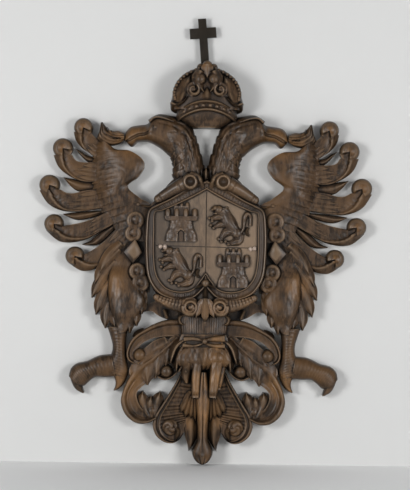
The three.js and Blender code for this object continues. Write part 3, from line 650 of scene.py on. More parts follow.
def neck_height(u, v):
    crests = [BEAK_CREST - 6, BEAK_CREST, BEAK_CREST + 2, HEAD_CREST, HEAD_CREST, NECK_CREST + 2,
              NECK_CREST, NECK_CREST, NECK_CREST - 4]
    whole = arch(NECK_EDGE, along_row(crests, u), v)
    if u < BEAK_SHARE:
        return whole - MOUTH_DEPTH * bump((v - MOUTH_ACROSS) / 0.1)
    behind_brow = eased((0.42 - v) / 0.1) * eased((u - 0.4) / 0.05)
    head_lines = HEAD_LINE_DEPTH * (furrows(v, 7) - 1) * behind_brow
    start = FEATHERED_FROM - 0.05 * v
    run = (u - start) / (1 - start)
    cut = NECK_FEATHER * (feathers(NECK_ROWS * run, NECK_COLUMNS * v) - 0.6) if run > 0 else 0
    cheek = CHEEK_RISE * bump((v - 0.84) / 0.16) * bump((u - 0.44) / 0.14)
    return whole + cut * eased(8 * run) + head_lines + cheek


def head():
    throat = jagged(line(*THROAT), FEATHERED_FROM + 0.06, 6, -1.5)
    nape = jagged(line(*NAPE), FEATHERED_FROM + 0.14, 6, 1.2)
    return [
        strip(nape, throat, neck_height, along=0.0024, across=0.0019),
        tapered([(57, 77.5), (51, 82), (42, 81), (33, 78)], 2.6, 1.2, BROW_EDGE, BROW_CREST,
                BROW_CREST - 6),
        ball((51, 72), 2.4, EYE_CREST),
    ]


def breast():
    return across_middle(
        [(1, 25), (20, 24), (33, 20), (48, 2), (56, -8), (60, -30), (60, -60), (56, -80),
         (47, -96), (34, -104), (22, -110)], flat(BREAST_HEIGHT), PLAIN, PLAIN)


# The collar's links between wing and shield: round steels and a cut flint on a flat ground

def bar(start, end, half_width=2.1):
    return rod([start, end], lambda u: half_width * (0.55 + 0.45 * bump(2 * u - 1)),
               lambda u, v: arch(COLLAR_HOLLOW, COLLAR_CREST, v))


def steel(place, radius, start):
    """A round steel of the collar: a thick link with a knob set to one side of its opening."""
    knob = 0.18 * radius * Vector((cos(start), sin(start)))

    def height(reach, angle):
        link = bump((reach - 0.72 * radius) / (0.34 * radius))
        aside = (reach * Vector((cos(angle), sin(angle))) - knob).length
        middle = 0.85 * bump(aside / (0.5 * radius))
        return mix(COLLAR_HOLLOW + 8, COLLAR_CREST, max(link, middle))
    return disc(place, radius, height)


def flint():
    """A lozenge with four sloping facets."""
    corners = [(70, -40), (81, -53), (72, -64), (63, -53)]
    net = bmesh.new()
    face = net.faces.new([net.verts.new((x * SQUARE, -FLINT_EDGE * MM, z * SQUARE)) for x, z in corners])
    peak = bmesh.ops.poke(net, faces=[face])["verts"][0]
    peak.co.x = FLINT_PEAK_OUT * SQUARE
    peak.co.y = -FLINT_CREST * MM
    return closed(net)


def collar():
    return [
        strip(line((55, -4), (55, -40), (55, -93)), line((80, -8), (80, -42), (60, -94)),
              flat(COLLAR_GROUND), PLAIN, PLAIN),
        bar((86, -2), (70, -5)),
        bar((65, -6), (53, -8)),
        ball((67.5, -5), 2.4, COLLAR_CREST + 1),
        steel((70, -21), 9, 2.6),
        steel((72, -34), 8.4, 2.2),
        flint(),
        steel((67.5, -72), 8.4, 2.6),
        steel((64, -83.5), 8.8, 2.2),
    ]


# Thigh, shank and clawed foot

THIGH_OUTER = [(86, -48), (92, -62), (96, -76), (97, -90), (96, -104), (92, -117),
               (89, -127), (87, -134)]
THIGH_INNER = [(64, -48), (72, -62), (74, -76), (62, -91), (58.5, -104), (65, -116), (71, -126),
               (78, -133)]
SIDE_FEATHERS = [
    [(84, -44), (97, -57), (105, -74)],
    [(86, -50), (101, -66), (110, -85)],
    [(90, -62), (104, -80), (112.8, -99)],
    [(92, -78), (103, -97), (108.5, -116)],
    [(88, -92), (98, -110), (99, -129.5)],
    [(82, -94), (90, -112), (89, -129.5)],
]
HEM_FEATHERS = [
    [(80, -98), (83, -116), (81, -132)],
    [(72, -96), (75, -116), (74, -134)],
    [(68, -92), (69, -112), (67.5, -127)],
    [(64, -88), (63, -102), (62.5, -115)],
]


def thigh_height(u, v):
    crests = [THIGH_CREST - 26, THIGH_CREST - 16, THIGH_CREST - 4, THIGH_CREST, THIGH_CREST,
              THIGH_CREST - 6, SHANK_CREST + 4]
    whole = mix(THIGH_EDGE + 4, along_row(crests, u), bump(2 * v - 1) ** 0.6)
    wisp = feathers(12 * (u + 0.06 * sin(7 * v)), 7 * v + 1.5 * u) - 0.6
    return whole + WISP_DEPTH * wisp * eased(u * 4)


def leg():
    def scaly(crest, rings):
        def height(u, v):
            scale = furrows(u + 0.03 * bump(2 * v - 1), rings) + 0.3 * furrows(v, 5) - 1
            return arch(SHANK_EDGE, crest, v) + SCALE_STEP * scale
        return height

    side_feathers = [lock(places, 6, TIP_EDGE, TIP_RIDGE, 0, 7) for places in SIDE_FEATHERS]
    hem = [lock(places, 6.5, TIP_EDGE + 6, TIP_RIDGE + 8, 4, 3) for places in HEM_FEATHERS]

    def hooked(u, v):
        return arch(CLAW_EDGE, mix(CLAW_CREST, CLAW_POINT, u), v)

    shank = strip(
        line((97, -128), (93, -140), (91.5, -148), (93, -156), (99, -164), (100, -172)),
        line((76, -128), (78, -140), (78, -151), (77, -162), (75, -172), (78, -178)),
        scaly(SHANK_CREST, 17), along=0.0017)
    toe = strip(
        line((92, -156), (105, -157.5), (117, -163), (127, -165.5), (133, -170.5), (135, -178)),
        line((88, -178), (99, -179), (108, -179), (114, -183), (119, -187.5), (124, -188)),
        scaly(FOOT_CREST, 17), along=0.0017)
    claw = strip(
        line((135, -176), (132, -185), (128.5, -191), (124, -194), (120.5, -195.5)),
        line((122, -186), (121.5, -188.5), (121, -190), (120.5, -192), (119.5, -194.5)),
        hooked)
    spur = strip(
        line((93, -172), (89, -180), (88, -184), (88.5, -188), (90, -191.5)),
        line((74, -172), (78, -182), (81, -187), (85, -190.5), (89, -192.5)),
        hooked)
    return [
        strip(line(*THIGH_OUTER), line(*THIGH_INNER), thigh_height),
        *side_feathers,
        *hem,
        shank,
        toe,
        claw,
        spur,
    ]


# The crown

RIM_LEVELS = (88, 99.5)
RIM_HALF_WIDTH = 31
RIM_TAPER = 1.6
JEWELS = 9
SIDE_BEADS = 13


def rim_depth(u):
    """How far the rim's profile lies behind its front, from its lower to its upper edge."""
    lower = 9 * (1 - bump((u - 0.17) / 0.17)) if u < 0.17 else 0
    upper = 9 * (1 - bump((u - 0.83) / 0.17)) if u > 0.83 else 0
    hollow = 6.5 * bump((u - 0.5) / 0.26)
    return lower + upper + hollow


def crown_rim():
    def edge(side):
        return lambda u: Vector((side * (RIM_HALF_WIDTH - RIM_TAPER * abs(2 * u - 1)),
                                 mix(*RIM_LEVELS, u)))

    def height(u, v):
        place = (v * JEWELS + 0.5) % 1 - 0.5
        jewel = 5 * bump(place / 0.36) * bump((u - 0.5) / 0.17)
        return arch(CROWN_EDGE, CROWN_RIM - rim_depth(u) + jewel, v)

    net = strip(edge(-1), edge(1), height, along=0.0018)
    for vert in net.verts:
        vert.co.z -= CROWN_RIM_BOW * MM * (vert.co.x / (RIM_HALF_WIDTH * SQUARE)) ** 2
    return net


def crown():
    lining = across_middle(
        [(14, 72), (23, 77.5), (28.5, 82.5), (31, 90)],
        lambda u, v: arch(CROWN_EDGE, mix(CROWN_LINING - 12, CROWN_LINING, u), v))
    dome_row = [CROWN_DOME, CROWN_DOME - 2, CROWN_DOME - 6, CROWN_TOP]
    dome = across_middle(
        [(33, 90), (34, 103), (31.5, 113), (27, 119), (19, 126), (8, 131)],
        lambda u, v: mix(CROWN_EDGE, along_row(dome_row, u), bump(2 * v - 1) ** 0.55))
    arch_line = line((31.5, 100), (32.5, 107), (28.5, 117), (20, 125), (8, 130.5))
    beads = [arch_line(bead / (SIDE_BEADS - 1)) for bead in range(SIDE_BEADS)]
    side = [
        tapered([(29, 98), (31, 107), (27.5, 117), (19, 125), (7, 130)], 3.2, 3.2, CROWN_EDGE,
                SIDE_ARCH_CREST - 3, SIDE_ARCH_CREST + 6),
        *(ball(tuple(place), 1.9, SIDE_ARCH_CREST + 6) for place in beads),
        leaf((26, 96), (17, 123), 9, CROWN_LEAF_EDGE + 10, CROWN_LEAF_RIDGE + 2, veins=2),
        snail((13, 109.5), 7.4, radians(110), 1, FRONT_ARCH_CREST, FRONT_ARCH_HOLLOW,
              FRONT_ARCH_CREST - 1),
        lock([(6, 128), (9.5, 121), (7.5, 113), (3, 107)], 6.4, CROWN_DOME - 4, TEARDROP_CREST - 2),
        ball((7, 120), 6.6, TEARDROP_CREST, 0.92),
        lock([(30, 94), (24, 97), (19, 103)], 3.2, CROWN_LEAF_EDGE + 8, FRONT_ARCH_CREST - 2),
        leaf((26, 93), (36.5, 96.5), 7.5, CROWN_EDGE, FLEURON_CREST, veins=3),
        leaf((25, 93), (34, 104), 6.5, CROWN_EDGE, FLEURON_CREST + 3, veins=4),
        ball((6.3, 132), 4.2, KNOB_CREST),
    ]
    return [
        lining,
        crown_rim(),
        dome,
        leaf((0, 8), (0, 32), 5, BREAST_HEIGHT, NECK_CREST, veins=4),
        leaf((0, 90), (0, 112), 9, CROWN_LEAF_RIDGE - 4, MIDDLE_LEAF_RIDGE, veins=2),
        lock([(0, 135), (0, 129), (0, 121)], 6.5, TEARDROP_CREST - 14, TEARDROP_CREST - 8),
        ball((0, 134), 5.2, KNOB_CREST + 3),
        *both_sides(side),
    ]


# The scrolls on one side of the tail: a rolled rim along the outer edge and a hollow floor

ACANTHUS_LOBES = [
    [(22, -139), (32, -149), (38, -166)],
    [(32, -143), (43, -157), (48, -179)],
    [(42, -151), (54, -165), (56, -186)],
    [(36, -142), (52, -153), (66, -165)],
    [(50, -154), (64, -167), (72, -182)],
]
END_LOBES = [
    [(53, -219), (60, -206), (60.8, -192.5)],
    [(48, -219), (46.5, -206), (43, -192.5)],
    [(51, -219), (53, -208), (52, -197)],
]


def scroll_band(outer, inner, ground, rim, lines=2, leafy=0):
    def height(u, v):
        level = mix(rim - 5, ground, eased((u - leafy) / 0.15)) if leafy else ground
        rolled = mix(level, rim, bump((v - 0.15) / 0.17))
        ridge = mix(level, rim - 5, bump((v - 0.43) / 0.08))
        inner_edge = mix(level, rim - 5, bump((v - 1) / 0.16))
        floor_lines = level + 1.2 * (furrows(v, 3 * lines) - 1)
        return max(rolled, ridge, inner_edge, floor_lines)
    return strip(line(*outer), line(*inner), height)


def scrolls():
    upper = scroll_band(
        [(18, -120), (36, -120.5), (49, -124.5), (60, -130.5), (69, -136.5), (75, -145),
         (77.5, -155), (75, -162), (68, -165.5)],
        [(18, -136), (32, -136.5), (44, -137.5), (54, -140), (61, -144), (66, -149), (69.5, -153),
         (69.5, -157), (65, -162)],
        SCROLL_FLOOR, SCROLL_RIM - 2)
    inner = scroll_band(
        [(17, -144), (20, -160), (24, -170.5), (30, -177.5), (38, -181), (46, -178.5)],
        [(24, -144), (26, -158), (28.5, -166), (32, -171), (38, -173.5), (43, -172)],
        INNER_SCROLL_FLOOR, INNER_SCROLL_RIM, lines=1)
    acanthus = scroll_band(
        [(27, -137), (41, -149), (54, -160), (67, -168.5), (75.5, -181), (81, -194), (82, -205),
         (77, -216.5), (67, -224), (56, -224.5), (47, -220)],
        [(20, -147), (30, -157), (40, -166), (49, -178), (60, -186.5), (66, -193), (66, -200),
         (63, -207), (59, -211), (53, -212), (46, -211)],
        SCROLL_FLOOR, SCROLL_RIM, leafy=0.3)
    return [
        upper,
        ball((64, -156), 7, SCROLL_BALL),
        leaf((60, -131), (71.5, -137.5), 3.2, SCROLL_LEAF_EDGE, SCROLL_LEAF_RIDGE),
        inner,
        ball((37, -172), 6.8, SCROLL_BALL),
        acanthus,
        *(lock(places, 8.5, SCROLL_RIM - 6, SCROLL_RIM - 0.5, 2, 1) for places in ACANTHUS_LOBES),
        *(lock(places, 7.5, SCROLL_LEAF_EDGE + 4, SCROLL_LEAF_RIDGE + 1, 2, 3) for places in END_LOBES),
        ball((51, -212), 5.5, SCROLL_LEAF_RIDGE + 2),
    ]


# The ribbed scroll below them, and the pointed leaves beside the stem

RIBBED_UNTIL = 0.58
RIBS = 15
BUD_RADIUS = 9.5
SPEAR_TIPS = [(22, -213), (17.5, -217.5), (12, -219), (7, -221)]


def lower_leaves():
    def ribbed_height(u, v):
        outer_rim = mix(RIBBED_FLOOR, RIBBED_RIM, bump((v - 0.05) / 0.07))
        second_rim = mix(RIBBED_FLOOR, RIBBED_RIM - 2, bump((v - 0.18) / 0.05))
        rib = RIB_STEP * (furrows(u / RIBBED_UNTIL, RIBS) - 1) if u < RIBBED_UNTIL else 0
        return max(outer_rim, second_rim, RIBBED_FLOOR + 3 + rib)

    ribbed = strip(
        line((22, -172), (28, -184), (34, -194), (42, -207), (48, -217), (50, -227),
             (46.5, -236.5), (39, -242.5), (31, -244), (24, -241), (19, -234)),
        line((6, -176), (7, -187), (8, -196), (10, -205), (13, -212), (15, -218), (17, -223),
             (18, -227), (18.5, -229), (18.5, -231), (18, -232)),
        ribbed_height, along=0.002)

    def bud_height(reach, angle):
        share = reach / BUD_RADIUS
        swirl = furrows(angle / (2 * pi) + 0.5 * share, 3) - 1
        round_back = mix(RIBBED_FLOOR - 2, RIBBED_RIM + 5, bump(share))
        return round_back + BUD_SWIRL * swirl * eased(2.5 * share)

    ribbed_end = [disc((32.5, -228), BUD_RADIUS, bud_height),
                  lock([(30, -226), (25, -232), (27, -241)], 4.5, RIBBED_FLOOR, RIBBED_RIM + 4)]
    stem_leaf = strip(
        line((17, -216), (18.5, -226), (17.5, -237), (15, -245), (14, -252)),
        line((5, -216), (5, -225), (5, -234), (7, -242), (12.5, -250)),
        lambda u, v: roof(SCROLL_LEAF_EDGE + 8, SCROLL_LEAF_RIDGE + 5, v) + 0.6 * furrows(v, 6))
    spears = [leaf((mix(tip[0], 8, 0.75), -192), tip, 4.6, SPEAR_EDGE + 7, SPEAR_RIDGE + 6)
              for tip in SPEAR_TIPS]
    return [ribbed, *ribbed_end, stem_leaf, *spears]


def tail_side():
    strut = strip(
        line((62, -107), (52, -103.5), (42, -98), (26, -98)),
        line((66, -115), (54, -112), (43, -118), (26, -124)),
        flat(STRUT_CREST), PLAIN, PLAIN)
    return [
        strut,
        *scrolls(),
        *lower_leaves(),
        ring((20, -120), 7, HANGING_RING_CREST, COLLAR_HOLLOW),
        tapered([(40, -110), (38, -116), (37, -119)], 2, 2, COLLAR_HOLLOW, HANGING_RING_CREST - 4),
    ]


# The hanging lamb: a fleece slung over the belt, legs and a drooping head

CAPE_FOLDS = [
    [(20, -140), (28, -148), (33, -163)],
    [(18, -142), (25, -155), (27, -171)],
]


def lamb():
    def limb(places, start, end, crest):
        def height(u, v):
            hoof = HOOF_CUT * bump((u - 0.9) / 0.03)
            wool = WOOL_DEPTH * (furrows(v + 0.05 * sin(20 * u), 3) - 1)
            return mix(LAMB_EDGE + 4, crest, bump(2 * v - 1) ** 0.35) - hoof + wool
        return rod(places, lambda u: mix(start, end, u), height)

    def fleece_height(u, v):
        fold = FLEECE_FOLD * bump((v - mix(0.62, 0.55, u)) / 0.03)
        sway = v + 0.1 * (v - 0.5) * u + 0.015 * sin(19 * u)
        strands = FLEECE_STRAND * (furrows(sway, FLEECE_STRANDS) - 1)
        drape = 2.5 * cos(4 * pi * v) * u - 8 * max(0, 0.4 - u) - 13 * eased((u - 0.55) / 0.45)
        return mix(FLEECE_EDGE, FLEECE_CREST, bump(2 * v - 1) ** 0.4) + drape - fold + strands

    fleece = across_middle(
        [(20, -147), (25, -151), (28, -158), (27, -165), (17, -169)], fleece_height)
    capes = [lock(places, 6.5, LAMB_EDGE - 4, LAMB_LEG + 2, 5, 2) for places in CAPE_FOLDS]
    drooping_head = strip(
        line((-22, -160), (-23, -168), (-22, -177), (-19, -183)),
        line((-9, -164), (-11, -171), (-13, -178), (-14, -183)),
        lambda u, v: arch(LAMB_EDGE - 2, mix(LAMB_HEAD_TOP, LAMB_HEAD_TIP, u), v))
    return [
        fleece,
        *both_sides(capes),
        limb([(-5, -160), (-7, -174), (-7.5, -197)], 5.5, 4.2, LAMB_LEG + 5),
        limb([(14, -158), (12, -174), (9.5, -197)], 7.5, 4.3, LAMB_LEG + 5),
        ball((-5, -159.5), 8.5, HAUNCH_CREST),
        ball((14, -158), 10, HAUNCH_CREST),
        ball((-18, -160), 8, HAUNCH_CREST - 3),
        limb([(19, -158), (18, -172), (15, -189)], 4.4, 2.6, LAMB_LEG - 6),
        leaf((-16, -158), (-8, -170), 5, LAMB_EDGE + 14, FLEECE_CREST - 4, veins=3),
        leaf((16, -154), (12, -168), 5.5, LAMB_EDGE + 14, FLEECE_CREST - 4, veins=3),
        drooping_head,
        leaf((-20, -164), (-25, -172), 2.6, LAMB_EDGE, LAMB_HEAD_TOP - 4),
        ball((-17.5, -171), 1.2, LAMB_HEAD_TOP - 1),
    ]


# The tail's middle: its ground, a ribbed band, the belt with its knot, the stem and bulb

BAND_RIBS = 20


def tail_middle():
    ground = across_middle(
        [(30, -96), (24, -110), (24, -140), (22, -165), (14, -185), (10, -205), (7, -225),
         (6, -240)], flat(TAIL_GROUND), PLAIN, PLAIN)
    band = across_middle(
        [(24, -116), (23.5, -126), (22.5, -136)],
        lambda u, v: arch(BAND_CREST - 12, BAND_CREST + 5 * u, v) + 0.9 * furrows(v, BAND_RIBS),
        across=0.0011)
    belt = across_middle(
        [(22, -134), (24, -139), (24.5, -146), (23, -150)],
        lambda u, v: BELT_CREST - 8 + 10 * bump((u - 0.5) / 0.8) * bump((2 * v - 1) / 1.1))

    def stem_height(u, v):
        lobes = BULB_LOBE * (furrows(v, 3) - 1) * eased((u - 0.72) / 0.1)
        flute = STEM_FLUTE * bump((v - 0.5) / 0.06) * (1 - eased((u - 0.7) / 0.1))
        return mix(STEM_EDGE, STEM_CREST, bump(2 * v - 1) ** 0.45) - flute + lobes
    stem = across_middle(
        [(3.5, -172), (7, -196), (6.8, -208), (5.5, -221), (5, -232), (5.5, -240), (8, -246),
         (10.3, -252), (9, -257.5), (5.5, -262), (1.5, DRAWN_FOOT)], stem_height, along=0.0026,
        across=0.0011)
    bow = [
        tapered([(0, -140.5), (-10, -138.5), (-20, -139)], 2, 3, BELT_CREST - 3, BOW_CREST - 3),
        tapered([(0, -142.5), (-10, -146), (-21, -145)], 1.8, 2.8, BELT_CREST - 3, BOW_CREST - 2),
        rod([(1, -140), (10, -138.5), (21, -138)], lambda u: mix(2.2, 4.4, u),
            lambda u, v: arch(BELT_CREST - 3, BOW_CREST, v) + BOW_FOLD * (furrows(v, 2) - 1)),
        tapered([(1, -142.5), (10, -145.5), (21, -145.5)], 1.8, 3, BELT_CREST - 3, BOW_CREST - 1),
        ball((1, -141), 3.2, BOW_CREST + 2),
    ]
    return [ground, band, belt, *bow, stem, *lamb()]


# The shield

SHIELD_OUTER = [(-1, 20), (18, 13), (38, 1), (50, -5), (58, -12), (60.5, -30), (60.5, -54),
                (58.5, -75), (52.5, -88), (44, -96), (28, -101), (13, -99), (4, -92), (-1, -86)]
SHIELD_FIELD = [(-1, 12), (14, 3), (31, -5), (43, -10), (52, -13), (52.3, -32), (52.3, -54),
                (50, -73), (44, -84), (36, -90), (24, -92), (12, -89), (4.5, -80), (-1, -72)]
FRAME_RIBS = 84
FIELD_UNDER_FRAME = 2
FIELD_DEPTHS = (-0.0575, -0.0545)
FRAME_OVER_FIELD = 1.6
EYE_RADIUS = 5
RING_RADIUS = 8.6


def frame_height(u, v):
    """Outer bead, hollow and inner bead across the frame, tooled above and below."""
    outer = mix(FRAME_FOOT, FRAME_OUTER_BEAD, bump((v - 0.16) / 0.18))
    tooled = abs(u - 0.5) > 0.24 and 0.34 < v < 0.66
    tooling = TOOLING_DEPTH * (furrows(u, FRAME_RIBS) - 0.6) if tooled else 0
    cove = FRAME_COVE + FRAME_COVE_CURVE * (v - 0.5) ** 2 + tooling
    inner = mix(FRAME_HOLLOW, FRAME_INNER_BEAD, bump((v - 0.82) / 0.12))
    if v < 0.16:
        return outer
    if v > 0.9:
        return mix(inner, FIELD_HEIGHT - SUNK_IN, eased((v - 0.9) / 0.1))
    return max(outer, cove, inner)


def shield_field():
    """The flat field, out to just under the inner edge of the frame."""
    inner = beside(line(*SHIELD_FIELD), lambda share: FIELD_UNDER_FRAME)
    spans = 4 * (len(SHIELD_FIELD) - 1)
    places = [inner(step / spans) for step in range(spans + 1)]
    right = [(place.x, place.y) for place in places if place.x > 0]
    left = [(-x, y) for x, y in reversed(right)]
    return block(right + left, FIELD_HEIGHT)


def scored_line(start, end):
    """A thin block of waste that cuts a quarter line into the field."""
    start, end = Vector(start), Vector(end)
    run = end - start
    side = Vector((-run.y, run.x)).normalized() * SCORED_HALF_WIDTH
    outline = [start + side, start - side, end - side, end + side]
    return block(outline, FIELD_HEIGHT + 1, FIELD_HEIGHT - SCORED_LINE)


def shield_ornament():
    """The rolled scrolls above, the volutes below, the bud and the hanging flower."""
    def tube(places, start, end, crest, tip, ribs=0):
        def height(u, v):
            if ribs:
                cut = 1.5 * bump((v - 0.3) / 0.05)
                lines = 1.8 * (furrows(u, ribs) - 1) * eased((0.8 - v) / 0.15)
            else:
                cut = 1.6 * (bump((u - 0.28) / 0.03) + bump((u - 0.9) / 0.03))
                lines = 0.8 * (furrows(v, 5) - 1)
            return arch(FRAME_OUTER_BEAD - 8, mix(crest, tip, u), v) - cut + lines
        return rod(places, lambda u: mix(start, end, u), height, along=0.0014)

    def eye_height(reach, angle):
        top = UPPER_SCROLL_CREST + 1
        if reach < EYE_RADIUS:
            return mix(top, UPPER_SCROLL_EYE, 1 - (reach / EYE_RADIUS) ** 2)
        return mix(top - 12, top, bump((reach - EYE_RADIUS) / (RING_RADIUS - EYE_RADIUS)) ** 0.7)

    side = [
        tube([(21.5, 16.5), (34, 9.6), (48, 0.5)], 8, 4.4, UPPER_SCROLL_CREST, UPPER_SCROLL_TIP),
        rod([(3, 10), (6, 17.5), (9.2, 23), (16.5, 25.8)], lambda u: mix(2.6, 3.4, u),
            lambda u, v: mix(FRAME_HOLLOW, mix(FRAME_HOLLOW, UPPER_SCROLL_CREST - 5, eased(2 * u)),
                             bump(2 * v - 1) ** 0.6)),
        ball((48, 0.5), 4.5, UPPER_SCROLL_TIP),
        tube([(12, -105), (26, -105), (38, -102), (48.5, -97.5)], 9, 3.6, VOLUTE_TUBE_CREST,
             VOLUTE_TUBE_TIP, ribs=11),
        ball((48.5, -97.5), 3.8, VOLUTE_TUBE_TIP),
        disc((16.5, 18), RING_RADIUS, eye_height),
        snail((15, -107), 9.8, radians(20), 1.7, VOLUTE_CREST, VOLUTE_FLOOR, VOLUTE_CREST + 2, -1),
        lock([(2, -99), (5.5, -107), (9, -117)], 4, FLOWER_SIDE_RIDGE - 3, FLOWER_SIDE_RIDGE + 1),
        leaf((1, -84), (10.5, -88), 3, FRAME_HOLLOW, BUD_LEAF_RIDGE),
    ]
    return [
        *both_sides(side),
        ball((0, -83), 4.2, BUD_CREST),
        leaf((0, -98), (0, -121.5), 4.2, FLOWER_RIDGE - 4, FLOWER_RIDGE + 2),
        leaf((0, -84), (0, -110), 12, FRAME_FOOT, FRAME_HOLLOW + 4),
        leaf((0, -84), (0, -103), 3.2, FRAME_HOLLOW, BUD_LEAF_RIDGE - 1),
        leaf((0, -83), (0, -75.5), 2.6, FRAME_HOLLOW, BUD_LEAF_RIDGE),
    ]


TOWER_EDGE = [(16, -34), (14.5, -26), (11.5, -19), (11, -12)]
MERLONS = [-13.5, -4.5, 4.5, 13.5]
TURRET_MERLONS = [-5.8, 0, 5.8]


def castle(out, up):
    """A flaring tower and a turret with merlons, courses of stone and a doorway."""
    top = FIELD_HEIGHT + CHARGE_RISE

    def at(places):
        return [(out + x, up + z) for x, z in places]

    def tower_height(u, v):
        bow = 5 * bump(2 * v - 1) - 2
        rows = 5 * u + 0.25 * sin(9 * v)
        courses = STONE_JOINT * (furrows(rows, 1) - 1)
        joints = STONE_JOINT * (furrows(v + 0.13 * (floor(rows) % 2) + 0.02 * sin(7 * u), 4) - 1)
        side = abs(v - 0.5) * mix(33, 23, eased(u * 1.6))
        foot = u * 21
        door = side < 3.2 and foot < 10 - 0.3 * side ** 2
        door_arch = side < 5 and foot < 12.5 - 0.3 * side ** 2
        return top + bow + (-DOOR_DEPTH if door else 1.5 if door_arch else courses + joints)

    left, right = (line(*at([(side * x, z) for x, z in TOWER_EDGE])) for side in (-1, 1))
    tower = strip(left, right, tower_height, along=0.0014, across=0.0014)

    def drum(x, foot, head, half_width, crest):
        """A merlon with a rounded front and head."""
        return rod(at([(x, foot), (x, head)]), lambda u: half_width * (1 - 0.35 * u ** 4),
                   lambda u, v: arch(FIELD_HEIGHT, crest - 3 * u ** 3, v),
                   along=0.0016, across=0.0013)

    return [
        tower,
        block(at([(-7, -12), (7, -12), (7.8, 1.5), (-7.8, 1.5)]), top - 1, soft=1.2),
        block(at([(-15.5, -13.5), (15.5, -13.5), (16.5, -8.5), (-16.5, -8.5)]), top + 3, soft=2),
        *(drum(x, -9, -1.5, 3.4, top + 4) for x in MERLONS),
        *(drum(x, 0, 5, 2.3, top) for x in TURRET_MERLONS),
    ]


# A lion on its hind legs, facing the viewer's left

LION_LIMBS = [
    ([(-9, 11), (-4, 4), (2, -4), (7, -11)], 8, 4.4, 2.5),
    ([(-4, 3), (-11, 5.5), (-19, 3)], 4.4, 3, 2.5),
    ([(-2, -2), (-9, -2), (-16, -5)], 3.8, 2.4, 1),
    ([(6, -10), (-1, -8.5), (-6, -12), (-10, -18)], 5.6, 2.6, 1.5),
    ([(9, -12), (9, -17), (4, -20), (-3, -21)], 5.6, 2.4, 0.5),
    ([(9, -12), (13, -6), (14, 3), (16.5, 8.5), (20, 6), (20, -3)], 2.2, 2.4, 1),
]
LION_PAWS = [(-19.5, 2.5), (-18, -4.5), (-10, -18), (-3, -20.5)]
MANE_LOCKS = 6
MANE_ROWS = [((-8, 14), (1, 1), 15, -70), ((-11, 12), (-5, 0), -30, -110)]


def lion(out, up):
    base = FIELD_HEIGHT - SUNK_IN
    top = FIELD_HEIGHT + CHARGE_RISE

    def at(x, z):
        return (out + x, up + z)

    def limb(places, start, end, lift):
        def height(u, v):
            fur = FUR_DEPTH * (furrows(v + 0.12 * sin(8 * u), 3) - 1)
            return arch(base, top + lift - sin(9 * u), v) + fur * bump(2 * v - 1)
        return rod([at(x, z) for x, z in places],
                   lambda u: 1.08 * mix(start, end, u) - 0.5 * sin(9 * u), height,
                   along=0.0024, across=0.0012)

    def mane_row(start, end, first, last):
        locks = []
        for index in range(MANE_LOCKS):
            share = index / (MANE_LOCKS - 1)
            angle = radians(mix(first, last, share))
            run = Vector((cos(angle), sin(angle)))
            side = Vector((run.y, -run.x))
            root = Vector(at(*start)).lerp(Vector(at(*end)), share)
            places = [root - 3 * run, root + 1.5 * run + side, root + 5 * run - 0.5 * side]
            locks.append(lock(places, 2.8, base, top + 5, 0, -3))
        return locks

    return [
        *(limb(*one) for one in LION_LIMBS),
        *(ball(at(x + toe, z - toe), 1.7, top + 1) for x, z in LION_PAWS for toe in (-1.4, 1.4)),
        *(one for row in MANE_ROWS for one in mane_row(*row)),
        ball(at(-11.5, 12.5), 4.8, top + 4),
        limb([(-11, 14), (-15, 14), (-19, 12)], 3, 2.2, 3.5),
        limb([(-11, 10.5), (-14, 9), (-17, 8.5)], 2.2, 1.4, 1.5),
        ball(at(7, -11), 6.4, top + 2.5),
        lock([at(18, -5), at(16, -9), at(19, -14)], 3, base, top + 1.5),
    ]


# Where the charges, quarter lines and pins stand on the field

CASTLES = [(-25, -7.5), (27.5, -53)]
LIONS = [(24, -22), (-25, -64)]
QUARTER_LINES = [((0, 8), (0, -72)), ((-50, -46), (50, -47.5))]
PINS = [(-45.5, -47), (-41, -47), (44.5, -48.5), (48.5, -48)]
PIN_RADIUS = 2.2
PIN_CREST = 5


# Joining and cutting, with Blender's Boolean modifier

def mesh_of(net, name):
    """The mesh made of a net, which is used up."""
    mesh = bpy.data.meshes.new(name)
    net.to_mesh(mesh)
    net.free()
    return mesh


def added(name, data, collection=None):
    """A new object, in the scene if no other collection is given."""
    thing = bpy.data.objects.new(name, data)
    home = bpy.context.scene.collection if collection is None else collection
    home.objects.link(thing)
    return thing


def combined(first, forms, operation):
    """The first form with others joined to it or cut from it, as a new net."""
    workshop = bpy.data.collections.new("workshop")
    blank = added("blank", mesh_of(first, "blank"))
    for form in forms:
        added("form", mesh_of(form, "form"), workshop)
    cut = blank.modifiers.new(operation, "BOOLEAN")
    cut.operation = operation
    cut.operand_type = "COLLECTION"
    cut.collection = workshop
    cut.solver = "MANIFOLD"
    made = bmesh.new()
    made.from_object(blank, bpy.context.evaluated_depsgraph_get())
    for thing in [blank, *workshop.objects]:
        bpy.data.meshes.remove(thing.data)
    bpy.data.collections.remove(workshop)
    return made


def joined(forms):
    return combined(forms[0], forms[1:], "UNION")


def cut_away(net, wastes):
    return combined(net, wastes, "DIFFERENCE")


def behind(level):
    """The block of waste behind a level."""
    wide = 2 * (DRAWN_TOP - DRAWN_FOOT)
    corners = [(-wide, -wide), (wide, -wide), (wide, wide), (-wide, wide)]
    return block(corners, level, -3 * SAWN_BEHIND)


